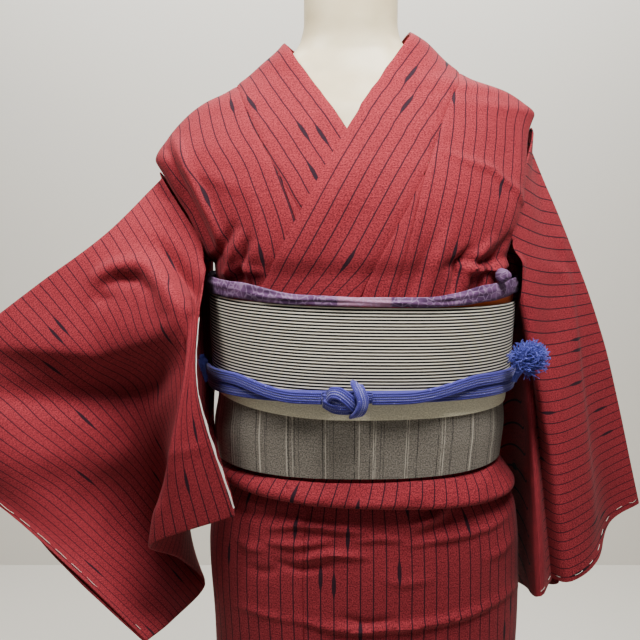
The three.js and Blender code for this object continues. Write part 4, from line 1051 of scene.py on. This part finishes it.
def sleeve_piece(key, rows, hangs, facing, around, seed, lining):
    s, turn = np.linspace(0, 1, SLEEVE_SECTIONS + 1), np.linspace(0, 2 * np.pi, around + 1)
    front = (np.arange(around + 1) <= around / 2) | (np.arange(around + 1) == around)
    points, out = sleeve_net(rows, hangs, facing, s, turn, front)
    away = np.where(front[None, :, None], out, -out)
    height = ripple(points, 60, seed) * 0.8
    height += crease_height(in_view(points), SLEEVE_MARKS[key]) * front[None]
    height += crease_height(points[..., [0, 2]], SLEEVE_BACK_MARKS[key]) * ~front[None]
    height *= np.abs(np.sin(turn))[None] ** 0.35
    height *= (ease(s / 0.05) * 0.8 + 0.2)[:, None]
    height[:, -1] = height[:, 0]
    moved = stand_off(SLEEVE_CLEAR, points + away * height[..., None])
    moved[:, -1] = moved[:, 0]
    width = run_length(points, 0)
    u = width / width[-1][None] * width[-1].max() * SLEEVE_SCALE
    if facing < 0:           # the fold at the crook turns the stripes of the lower part
        x, fall = points[..., 0], rows[0][0][2] - points[..., 2]
        tilt = mix(*CROOK_TILT, s)[:, None]
        level_run = fall * (CROOK_RUN + CROOK_GROWS * fall) + tilt * (x - CROOK_FROM)
        steep_run = STEEP_ACROSS * (x - STEEP_FROM) + STEEP_DOWN * fall
        deep = ease((0.5 - 0.5 * np.cos(turn) - 0.5) / 0.12) * front
        u = mix(level_run, steep_run, deep[None])
    uv = paired(u + 3, run_length(points, 1).mean(axis=0)[None])
    cloth_piece(key + "_sleeve_cloth", key + "_sleeve", "silk", moved, uv, CLOTH, SILK,
                closed=True)
    return moved


SLEEVE_SECTIONS = 110
CROOK_TILT = -0.35, 0.4     # tilt of the left sleeve's upper stripes, at the armhole and at the cuff
CROOK_RUN, CROOK_GROWS, CROOK_FROM = 0.9, 0.0004, 190
STEEP_ACROSS, STEEP_DOWN, STEEP_FROM = 0.87, 0.42, 160      # the stripes below the crook
SLEEVES = {     # rows, hangs, the way the front faces, columns round, seed
    "right": (SLEEVE_RIGHT, HANG_RIGHT, 1, 250, 31),
    "left": (SLEEVE_LEFT, HANG_LEFT, -1, 220, 33),
}
LINING_SHOWS = {"right": (0.53, 0.985), "left": (0.58, 0.74)}      # shares of the armhole's edge
LININGS = {key: lining_piece(key, SLEEVES[key][0], *LINING_SHOWS[key]) for key in SLEEVES}
SLEEVE_NETS = {key: sleeve_piece(key, *SLEEVES[key], LININGS[key]) for key in SLEEVES}

# ------------------------------------------------------------------ belt
BELT_TOP, BELT_TOP_TILT, BELT_TOP_DIP = 1072, 4, 2
BELT_UPPER_BOTTOM, BELT_LOWER_TOP = 982, 1040
CREAM_TOP, CREAM_BOTTOM, CREAM_TILT = 1030, 962, 12
ORANGE_FROM, ORANGE_TO, ORANGE_RISE = 20, 90, 7
FLARE_LEFT, FLARE_RIGHT, FLARE_FROM = 6.8, 4.6, 968


def belt_top(angle):
    s, c = np.sin(np.radians(angle)), np.cos(np.radians(angle))
    return BELT_TOP - BELT_TOP_TILT * s - BELT_TOP_DIP * np.maximum(0, c)


def cream_bottom(angle):
    return CREAM_BOTTOM + CREAM_TILT * np.minimum(0, np.sin(np.radians(angle))) ** 2


def orange_rise(angle):
    return ORANGE_RISE * ease((angle - ORANGE_FROM) / 50) * ease((ORANGE_TO + 11 - angle) / 22)


def level(height):
    return lambda angle: np.full_like(angle, float(height))


BELT_MARKS = {
    "upper": [
        ([(222, 300), (262, 318), (320, 330)], 0.5, 10, 14),
        ([(300, 372), (360, 366), (430, 372)], 0.5, 10, 12),
        ([(350, 312), (352, 340), (350, 372)], -0.4, 5, 6),
        ([(440, 300), (452, 330), (470, 360)], 0.5, 10, 10),
    ],
    "cream": [([(250, 404), (320, 416), (380, 414)], 0.4, 5, 6)],
    "lower": [
        ([(240, 430), (300, 448), (372, 456)], 0.5, 10, 12),
        ([(420, 450), (460, 440), (490, 420)], 0.5, 8, 10),
    ],
}


def side_flare(angle, z):
    """How far the lower wrap stands out at the sides, below the cream edge."""
    side = np.sin(np.radians(angle))
    return np.where(side < 0, FLARE_LEFT, FLARE_RIGHT) * np.abs(side) ** 1.5 * ease((FLARE_FROM - z) / 40)


def band_piece(name, node, slot, bottom, top, out, wall, material, marks, first=0.0, last=360.0, flare=None):
    columns, rows = max(24, round(last - first)), 16
    angle = np.linspace(first, last, columns + 1)
    share = np.linspace(0, 1, rows + 1)[:, None]
    low, high = bottom(angle), top(angle)
    z = mix(low, high, share)
    points = on_section(BELT, angle[None], z, out + (flare(angle[None], z) if flare else 0.0))
    closed = last - first >= 360
    height = crease_height(in_view(points), marks) * (points[..., 1] < 0)
    height += edge_roll(share, (high - low).mean(), min(0.5, wall / 4), 3)
    uv = paired(run_length(points, 1)[[rows // 2]], high - z)
    cloth_piece(name, node, slot, lay(points, height, closed), uv, wall, material,
                closed=closed)


for name, slot, bottom, top, out, material, key, flare in (
        ("upper_wrap", "belt_stripe", level(BELT_UPPER_BOTTOM), belt_top, -1.3, OBI_STRIPE, "upper", None),
        ("middle_fold", "belt_cream", cream_bottom, level(CREAM_TOP), -4.1, OBI_CREAM, "cream", None),
        ("lower_wrap", "belt_grey", level(BELT_LOWER_BOTTOM), level(BELT_LOWER_TOP), -6.9, OBI_GREY, "lower",
         side_flare)):
    band_piece("obi_" + name, "belt_" + name, slot, bottom, top, out, BELT_WALL, material, BELT_MARKS[key],
               flare=flare)
band_piece("obi_orange_edge", "belt_orange_edge", "belt_orange", lambda a: belt_top(a) - 14,
           lambda a: belt_top(a) + orange_rise(a), -3.4, EDGE_WALL, ORANGE, [], ORANGE_FROM, ORANGE_TO)

DRUM_PATH = [
    (134, 1082), (146, 1104), (166, 1112), (190, 1102), (203, 1060), (207, 1000), (204, 940),
    (192, 892), (172, 880), (156, 892), (152, 930), (150, 975),
]
TAIL_PATH = [(147.8, 960), (148.8, 905), (149, 865), (151, 832), (153, 800)]
DRUM_HALF, BOW_CENTRE, BOW_ROUND = 148, 6, 34
BOW_ROWS, BOW_COLUMNS = 9, 72       # mesh rows to a step of the path, and columns across


def bow_piece(name, node, slot, path, half, material, seed):
    at = np.linspace(0, len(path) - 1, BOW_ROWS * (len(path) - 1) + 1)
    line = through(np.array(path, float), at)
    x = np.linspace(-half, half, BOW_COLUMNS + 1)[None]
    out = line[:, [0]] - BOW_ROUND * (x / half) ** 2
    points = np.stack(np.broadcast_arrays(x + BOW_CENTRE, out, line[:, [1]]), axis=-1)
    share = np.linspace(0, 1, BOW_COLUMNS + 1)[None]
    height = ripple(points, 110, seed) * 0.6 + edge_roll(share, 2 * half, 0.6, 4)
    uv = paired(run_length(points, 0), x + half)
    cloth_piece(name, node, slot, lay(points, height), uv, BELT_WALL, material)


bow_piece("obi_drum_bow", "belt_drum", "belt_stripe", DRUM_PATH, DRUM_HALF, OBI_STRIPE, 41)
bow_piece("obi_drum_tail", "belt_tail", "belt_grey", TAIL_PATH, DRUM_HALF - 4, OBI_GREY, 43)

# ------------------------------------------------------------------ sash
SASH_OUT, SASH_BACK, SASH_GAP, SASH_OVER_BOW, SASH_LEAVES = -0.3, 1122, 0.5, 38.5, 0.35
SASH_HALF_HIGH, SASH_HALF_FRONT, SASH_HALF_THICK = 8.5, 4.5, 4
SASH_RISE_RATE, SASH_FLAT_FROM = 3.4, 0.72
CLEAR_OF_PATCH = 200        # moves the knot's cloth away from the pale patch at the sash's end


def sash_half(angle):
    flat = (np.cos(np.radians(angle)) - SASH_FLAT_FROM) / (1 - SASH_FLAT_FROM)
    return mix(SASH_HALF_HIGH, SASH_HALF_FRONT, ease(flat))


def sash_path(angle):
    back = ease((-np.cos(np.radians(angle)) - SASH_LEAVES) * SASH_RISE_RATE)
    z = mix(belt_top(angle) + orange_rise(angle) + sash_half(angle) + SASH_GAP, SASH_BACK, back)
    return on_section(BELT, angle, z, SASH_OUT + SASH_OVER_BOW * back)


def tube(path, up, out, high, thick, sides, shape):
    """Rings round a path: shape(turn, place) scales each ring point's distance."""
    turn = np.linspace(0, 2 * np.pi, sides + 1)
    place = np.arange(len(path))
    scale = shape(turn[None], place[:, None])
    high, thick = np.broadcast_to(high, len(path)), np.broadcast_to(thick, len(path))
    return (path[:, None] + up[:, None] * (high[:, None] * np.sin(turn) * scale)[..., None]
            + out[:, None] * (thick[:, None] * np.cos(turn) * scale)[..., None])


def braid_rings(path, up, out, high, thick):
    """Rings of a flat braid of five ribs, and its cloth coordinates."""
    turn = np.linspace(0, 2 * np.pi, 97)
    across = np.sign(np.sin(turn)) * np.abs(np.sin(turn)) ** 0.8
    rib = np.abs(np.cos(np.pi * across / 0.4)) ** 0.7
    deep = np.sign(np.cos(turn)) * np.abs(np.cos(turn)) ** 0.45 * (0.66 + 0.34 * rib)
    rings = (path[:, None] + up[:, None] * (high * across)[None, :, None]
             + out[:, None] * (thick * deep)[None, :, None])
    return rings, np.broadcast_to((across + 1) * CORD_RIB * 2.5, rings.shape[:-1])


def frame_along(path, loop=False):
    """Axes across a path: up, and out from the body."""
    step = np.roll(path, -1, axis=0) - np.roll(path, 1, axis=0) if loop else np.gradient(path, axis=0)
    run = unit(step)
    out = unit(np.cross(run, np.array([0.0, 0.0, 1.0])))
    return unit(np.cross(out, run)), out


def closed_tube(name, rings, uv, material, loop):
    """A tube whose ends meet, or are closed by a fan."""
    mesh = grid_mesh(name, rings if not loop else np.concatenate([rings, rings[:1]]), uv, closed=True)
    piece = object_of(mesh, name)
    piece.data.materials.append(material)
    work = bmesh.new()
    work.from_mesh(piece.data)
    bmesh.ops.remove_doubles(work, verts=work.verts, dist=1e-6)
    bmesh.ops.holes_fill(work, edges=[e for e in work.edges if e.is_boundary])
    bmesh.ops.recalc_face_normals(work, faces=work.faces)
    work.to_mesh(piece.data)
    work.free()
    piece.data.shade_smooth()
    return piece


def sash_piece():
    count = 360
    angle = np.arange(count) * 360 / count - 180
    path = sash_path(angle)
    up, out = frame_along(path, True)
    dice = np.random.default_rng(61)
    waves = [(dice.integers(2, 7), dice.uniform(0, 6.3), dice.uniform(0.35, 1.0), dice.integers(3, 15))
             for _ in range(7)]

    def folds(turn, place):
        total = 0
        for many, phase, strength, along in waves:
            sway = 1.3 * np.sin(2 * np.pi * place * along / count)
            total = total + strength * np.sin(many * turn + phase + sway)
        return 1 + 0.07 * total
    rings = tube(path, up, out, sash_half(angle) * 0.93, SASH_HALF_THICK * 0.88, 40, folds)
    closed = np.concatenate([rings, rings[:1]])
    along = run_length(closed, 0)
    uv = paired(along - along[count // 2], run_length(closed, 1))
    piece = belongs(closed_tube("sash_band", rings, uv, SASH, True), "sash", "sash")


sash_piece()


def lump(name, node, slot, centre, half, material, seed, folds):
    """A knot of cloth: an egg with deep soft creases."""
    turn = np.linspace(0, 2 * np.pi, 49)
    lift = np.linspace(-np.pi / 2 + 0.02, np.pi / 2 - 0.02, 33)[:, None]
    ball = np.stack(np.broadcast_arrays(np.cos(lift) * np.cos(turn), np.cos(lift) * np.sin(turn),
                                        np.sin(lift)), axis=-1)
    swell = 1 + folds * ripple(ball * 30, 34, seed) - folds * 0.6
    rings = np.array(centre) + ball * np.array(half) * swell[..., None]
    uv = paired(run_length(rings, 0) + CLEAR_OF_PATCH, run_length(rings, 1))
    return belongs(closed_tube(name, rings, uv, material, False), slot, node)


sash_knot = lump("sash_tucked_knot", "sash_knot", "sash", (139, -92.3, 1095.9), (8, 7, 8), SASH, 71, 0.16)

# ------------------------------------------------------------------ cord
CORD_HEIGHT, CORD_RISE, CORD_WIDTH, CORD_THICK, CORD_OVER_BOW = 980, 6, 12, 5, 78.5


def cord_path(angle, out, rise):
    z = CORD_HEIGHT + CORD_RISE * np.maximum(0, np.cos(np.radians(angle))) + rise
    return on_section(BELT, angle, z, CORD_THICK / 2 + 0.4 + out)


def over_bow(angle):
    return CORD_OVER_BOW * ease((62 - np.abs(angle - 180)) / 22)


def braid_piece(node, path, loop=False):
    up, out = frame_along(path, loop)
    rings, across = braid_rings(path, up, out, CORD_WIDTH / 2, CORD_THICK / 2)
    closed = np.concatenate([rings, rings[:1]]) if loop else rings
    uv = paired(across[0], run_length(closed, 0))
    belongs(closed_tube(node + "_braid", rings, uv, CORD, loop), "cord", node)


ROUND_STEPS, END_STEPS = 200, 60
ring = np.arange(ROUND_STEPS) * 360 / ROUND_STEPS
braid_piece("cord_round", cord_path(ring, over_bow(ring), 0), loop=True)
for node, start, end in (("cord_right_end", -10.2, -78), ("cord_left_end", 2.2, 70)):
    t = np.linspace(0, 1, END_STEPS + 1)
    away = mix(CORD_THICK + 0.5, 1.2, ease(t * 2.2 - 0.4))
    rise = CORD_WIDTH * ease(t * 2.2 - 0.25)       # up off the round cord, on to the belt above it
    braid_piece(node, cord_path(mix(start, end, t), away, rise))

KNOT = np.array([-12.5, -146.3, 986])
KNOT_CORE = np.array([0.0, 9.0, -1.0])
KNOT_TURNS = [      # strands of the knot, as points from its centre, and half widths
    ([(-22, 5, -1), (-14, -1, -2), (-7, -6.5, -2.5), (0, -7.5, -2), (8, -4, -1)], 6.0),
    ([(-22, 4, -4), (-14, -1, -7.5), (-6, -4.5, -8), (2, -5, -7.5), (9, -2, -5)], 5.4),
    ([(-19, 3, 1), (-14.5, -3.5, 7), (-8, -7.5, 7.5), (-1, -8.5, 3), (5, -7.5, -3), (9, -3, -8.5)], 5.8),
    ([(9, 6, 12), (8, -2, 14.5), (11, -8, 9), (13.5, -10, 0), (11, -9, -9), (7, -3, -14), (7, 5, -11)], 6.2),
]


def knot_piece():
    parts = []
    for k, (turns, half) in enumerate(KNOT_TURNS):
        path = through(np.array(turns, float), np.linspace(0, len(turns) - 1, 44))
        run = unit(np.gradient(path, axis=0))
        out = path - KNOT_CORE
        out = unit(out - run * np.sum(out * run, axis=-1, keepdims=True))
        up = unit(np.cross(out, run))
        rings, across = braid_rings(path + KNOT, up, out, half, 2.3)
        uv = paired(across, run_length(rings, 0))
        parts.append(closed_tube("knot strand %d" % k, rings, uv, CORD, False))
    with bpy.context.temp_override(active_object=parts[0], selected_editable_objects=parts, object=parts[0]):
        bpy.ops.object.join()
    parts[0].name = "cord_tied_knot"
    belongs(parts[0], "cord", "cord_knot")


knot_piece()


# ------------------------------------------------------------------ threads by geometry nodes
def thread_tree():
    """Turns loose edges into round threads."""
    tree = bpy.data.node_groups.new("threads along edges", "GeometryNodeTree")
    keys = {}
    for label, way, kind in (("Geometry", "INPUT", "Geometry"), ("Thickness", "INPUT", "Float"),
                             ("Sides", "INPUT", "Int"), ("Finish", "INPUT", "Material"),
                             ("Geometry", "OUTPUT", "Geometry")):
        socket = tree.interface.new_socket(name=label, in_out=way, socket_type="NodeSocket" + kind)
        keys[label] = socket.identifier
    n = Nodes(tree)
    given, result = n.add("NodeGroupInput").outputs, n.add("NodeGroupOutput").inputs

    def step(kind, **inputs):
        node = n.add("GeometryNode" + kind)
        for key, value in inputs.items():
            n.plug(value, node.inputs[key.replace("_", " ")])
        return node.outputs[0]
    profile = step("CurvePrimitiveCircle", Radius=n.times(given["Thickness"], 0.5), Resolution=given["Sides"])
    lines = step("MeshToCurve", Mesh=given["Geometry"])
    swept = step("CurveToMesh", Curve=lines, Profile_Curve=profile, Fill_Caps=True)
    real = step("RealizeInstances", Geometry=swept)
    n.plug(step("SetMaterial", Geometry=real, Material=given["Finish"]), result[0])
    return tree, keys


THREAD_TREE, THREAD_KEYS = thread_tree()
THREAD_SIDES, TASSEL_THREAD, BASTING_THREAD = 4, 0.75, 0.45
DOWN = np.array([0, 0, -1])
NECK_THREADS = 70           # threads of a tassel that stay in its bound neck


def thread_piece(name, lines, thickness, material):
    """One piece of many threads, each along its own line of points in millimetres."""
    verts, edges = [], []
    for line in lines:
        first = len(verts)
        verts.extend((np.asarray(line) * MM).tolist())
        edges.extend((first + k, first + k + 1) for k in range(len(line) - 1))
    mesh = bpy.data.meshes.new(name)
    mesh.from_pydata(verts, edges, [])
    piece = object_of(mesh, name)
    maker = piece.modifiers.new("threads", "NODES")
    maker.node_group = THREAD_TREE
    for key, value in (("Thickness", thickness * MM), ("Sides", THREAD_SIDES), ("Finish", material)):
        maker[THREAD_KEYS[key]] = value
    finished(piece)
    piece.data.uv_layers.new(name="cloth")
    piece.data.shade_smooth()
    return piece


def tassel_piece(name, node, neck, centre, half, droop, strands, seed):
    """A bound neck that opens into a ball of loose threads."""
    neck, centre = np.array(neck, float), np.array(centre, float)
    axis = unit(centre - neck)
    dice = np.random.default_rng(seed)
    lines = []
    for _ in range(strands):
        way = unit(dice.normal(size=3) + axis * 0.9)
        long = dice.uniform(0.62, 1.0)
        root = mix(neck, centre, dice.uniform(0.45, 0.95)) + dice.normal(0, 1.2, size=3)
        tip = centre + way * half * long + DOWN * droop * dice.uniform(0, 1)
        bend = dice.normal(0, 0.12, size=3) * half
        t = np.linspace(0, 1, 7)[:, None]
        lines.append(mix(root, tip, t) + bend * np.sin(np.pi * t) + DOWN * droop * t * t * 0.4)
    for _ in range(NECK_THREADS):
        start = neck + dice.normal(0, 1.1, size=3)
        t = np.linspace(0, 1, 4)[:, None]
        lines.append(mix(start, mix(neck, centre, 0.9) + dice.normal(0, 2.4, size=3), t))
    belongs(thread_piece(name, lines, TASSEL_THREAD, TASSEL), "cord", node)


tassel_piece("cord_left_tassel_threads", "cord_left_tassel", (155, -88, 992), (166, -96, 1019),
             np.array([22.0, 17.0, 20.0]), 5, 950, 81)
tassel_piece("cord_right_tassel_threads", "cord_right_tassel", (-162.5, -14, 976), (-166, -14, 994),
             np.array([8.0, 10.0, 13.0]), 2, 300, 83)


def stitches(surface, places, on, off, lift, wander, seed):
    """Lines of thread that lie on a net of points: `places` are (row, column) marks to follow."""
    dice = np.random.default_rng(seed)
    path = through(np.array(places, float), np.linspace(0, len(places) - 1, 60 * len(places)))
    row, column = np.floor(path).astype(int).T
    row, column = np.minimum(row, surface.shape[0] - 2), np.minimum(column, surface.shape[1] - 2)
    a, b = (path - np.stack([row, column], axis=1)).T
    corners = [surface[row + i, column + j] for i in (0, 1) for j in (0, 1)]
    weights = [(1 - a) * (1 - b), (1 - a) * b, a * (1 - b), a * b]
    points = sum(corner * weight[:, None] for corner, weight in zip(corners, weights))
    walked = np.concatenate([[0], np.cumsum(np.linalg.norm(np.diff(points, axis=0), axis=1))])
    lines, at = [], 0.0
    while at < walked[-1] - on:
        long = on * dice.uniform(0.75, 1.25)
        t = np.linspace(at, min(at + long, walked[-1]), 8)
        line = np.stack([np.interp(t, walked, points[:, k]) for k in range(3)], axis=1)
        rise = np.sin(np.linspace(0, np.pi, 8)) * lift * dice.uniform(0.6, 1.4)
        line[:, 1] -= 1.4 + rise
        line[:, 2] += rise * dice.uniform(-1, 1) * wander
        lines.append(line)
        at += long + off * dice.uniform(0.7, 1.3)
    return lines


def basting_pieces():
    for key, places, on, off in (
            ("right", [(0.972, 0.05), (0.975, 0.2), (0.97, 0.36), (0.972, 0.47)], 15, 9),
            ("left", [(0.985, 0.03), (0.982, 0.12), (0.985, 0.22), (0.98, 0.30)], 9, 13)):
        name, net = key + "_sleeve_basting", SLEEVE_NETS[key]
        rows, columns = net.shape[0] - 1, net.shape[1] - 1
        marks = [(a * rows, b * columns) for a, b in places]
        lines = stitches(net, marks, on, off, 0.8, 1.5, len(name))
        belongs(thread_piece(name, lines, BASTING_THREAD, THREAD), "silk")


basting_pieces()

# ------------------------------------------------------------------ form and stand
def hard_material(name, low, high, rough, metal=0.0, scale=30.0):
    material, n, looks = new_material(name)
    place = n.add("ShaderNodeTexCoord").outputs["Object"]
    n.plug(n.shades(n.ramp(n.noise(place, scale, 4.0), 0.3, 0.7), low, high), looks["Base Color"])
    scuff = n.noise(place, scale * 9, 3.0)
    n.plug(n.plus(rough - 0.08, n.times(scuff, 0.16)), looks["Roughness"])
    looks["Metallic"].default_value = metal
    raise_surface(n, looks, scuff, 0.08, 0.0005)
    return material


FORM_SKIN = hard_material("cream form skin", (188, 173, 138), (206, 193, 160), 0.42, scale=14)
POLE_STEEL = hard_material("brushed pole steel", (150, 152, 155), (196, 198, 200), 0.34, 1.0, scale=60)
BASE_PAINT = hard_material("satin base paint", (44, 42, 40), (60, 57, 54), 0.45, scale=40)


def form_piece():
    levels = np.array([row[0] for row in FORM], float)
    z = np.concatenate([np.linspace(a, b, 7)[:-1] for a, b in zip(levels[:-1], levels[1:])] + [levels[-1:]])
    angle = np.linspace(0, 360, 97)
    rings = on_section(FORM, angle[None], z[:, None], -0.2)
    uv = paired(run_length(rings, 1), run_length(rings, 0))
    belongs(closed_tube("dress_form", rings, uv, FORM_SKIN, False), "form", "form_torso")


form_piece()


def round_piece(name, node, slot, profile, material, sides=96):
    profile = np.array(profile, float)
    turn = np.linspace(0, 2 * np.pi, sides + 1)
    rings = np.stack([profile[:, [0]] * np.cos(turn), profile[:, [0]] * np.sin(turn),
                      np.broadcast_to(profile[:, [1]], (len(profile), sides + 1))], axis=-1)
    uv = paired(run_length(rings, 1), run_length(rings, 0))
    piece = closed_tube(name, rings, uv, material, False)
    piece.data.set_sharp_from_angle(angle=math.radians(40))
    belongs(piece, slot, node)


round_piece("stand_pole", "form_pole", "pole", [(13.9, 12.3), (13.9, 719.7)], POLE_STEEL)
round_piece("stand_base", "form_base", "base",
            [(149, 0), (150, 1), (150, 8), (149.2, 10), (147.5, 11.5), (145.5, 12)], BASE_PAINT)

# ------------------------------------------------------------------ floor, backdrop and light
def stage_plane(name, corners, material):
    mesh = bpy.data.meshes.new(name)
    mesh.from_pydata(corners, [], [(0, 1, 2, 3)])
    mesh.materials.append(material)
    object_of(mesh, name)


def flat_material(name, *paint):
    material, _, looks = new_material(name)
    looks["Base Color"].default_value = colour(*paint)
    looks["Roughness"].default_value = 0.9
    return material


def choose(tree, share, first, second, result):
    """Mixes two shaders into a tree's result."""
    choice = tree.nodes.new("ShaderNodeMixShader")
    for socket, value in zip(choice.inputs, (share, first, second)):
        tree.links.new(value, socket)
    tree.links.new(choice.outputs[0], result.inputs[0])


def seen_from_front(material):
    """Lets the view through the face's back, so that the object is seen from behind too."""
    nodes = material.node_tree.nodes
    choose(material.node_tree, nodes.new("ShaderNodeNewGeometry").outputs["Backfacing"],
           nodes["Principled BSDF"].outputs[0], nodes.new("ShaderNodeBsdfTransparent").outputs[0],
           nodes["Material Output"])
    return material


PALE = flat_material("pale floor", 226, 222, 212)
WALL = seen_from_front(flat_material("pale backdrop", 226, 222, 212))
stage_plane("floor", [(-6, -6, 0), (6, -6, 0), (6, 6, 0), (-6, 6, 0)], PALE)
stage_plane("backdrop", [(-6, 1.6, 0), (6, 1.6, 0), (6, 1.6, 5), (-6, 1.6, 5)], WALL)


def area_light(name, place, target, size, power, tint):
    lamp = bpy.data.lights.new(name, "AREA")
    lamp.shape = "RECTANGLE"
    lamp.size, lamp.size_y = size
    lamp.energy = power
    lamp.color = tint
    light = bpy.data.objects.new(name, lamp)
    bpy.context.scene.collection.objects.link(light)
    light.location = place
    way = np.array(place) - np.array(target)
    flat = math.hypot(way[0], way[1])
    light.rotation_euler = (math.atan2(flat, way[2]), 0, math.atan2(way[0], -way[1]))


WARM, WHITE = (1.0, 0.98, 0.95), (1, 1, 1)
for light in (      # name, place, target, size, watts, tint
        ("key", (0.16, -0.46, 1.86), (0, -0.05, 1.15), (0.42, 0.36), 24, WARM),
        ("sleeve light", (-0.5, -0.3, 1.75), (-0.34, -0.06, 1.0), (0.3, 0.3), 9, WARM),
        ("fill", (1.6, -1.8, 1.5), (0, 0, 1.0), (1.6, 1.6), 2, WHITE),
        ("wall wash", (0.0, 0.75, 2.7), (0, 1.6, 1.2), (3.0, 0.5), 74, WHITE),
        ("back fill", (0.2, 1.45, 2.4), (0.2, 0, 2.4), (1.2, 0.9), 20, WHITE)):
    area_light(*light)


def make_world(light, strength, paper):
    """A studio that lights the object dimly, and that the camera sees as pale paper."""
    world = bpy.data.worlds.new("studio")
    world.use_nodes = True
    nodes = world.node_tree.nodes
    dim, pale = nodes["Background"], nodes.new("ShaderNodeBackground")
    dim.inputs[0].default_value, dim.inputs[1].default_value = light, strength
    pale.inputs[0].default_value = paper
    choose(world.node_tree, nodes.new("ShaderNodeLightPath").outputs["Is Camera Ray"], dim.outputs[0],
           pale.outputs[0], nodes["World Output"])
    bpy.context.scene.world = world


make_world((0.9, 0.9, 0.92, 1), 0.085, (0.62, 0.61, 0.58, 1))
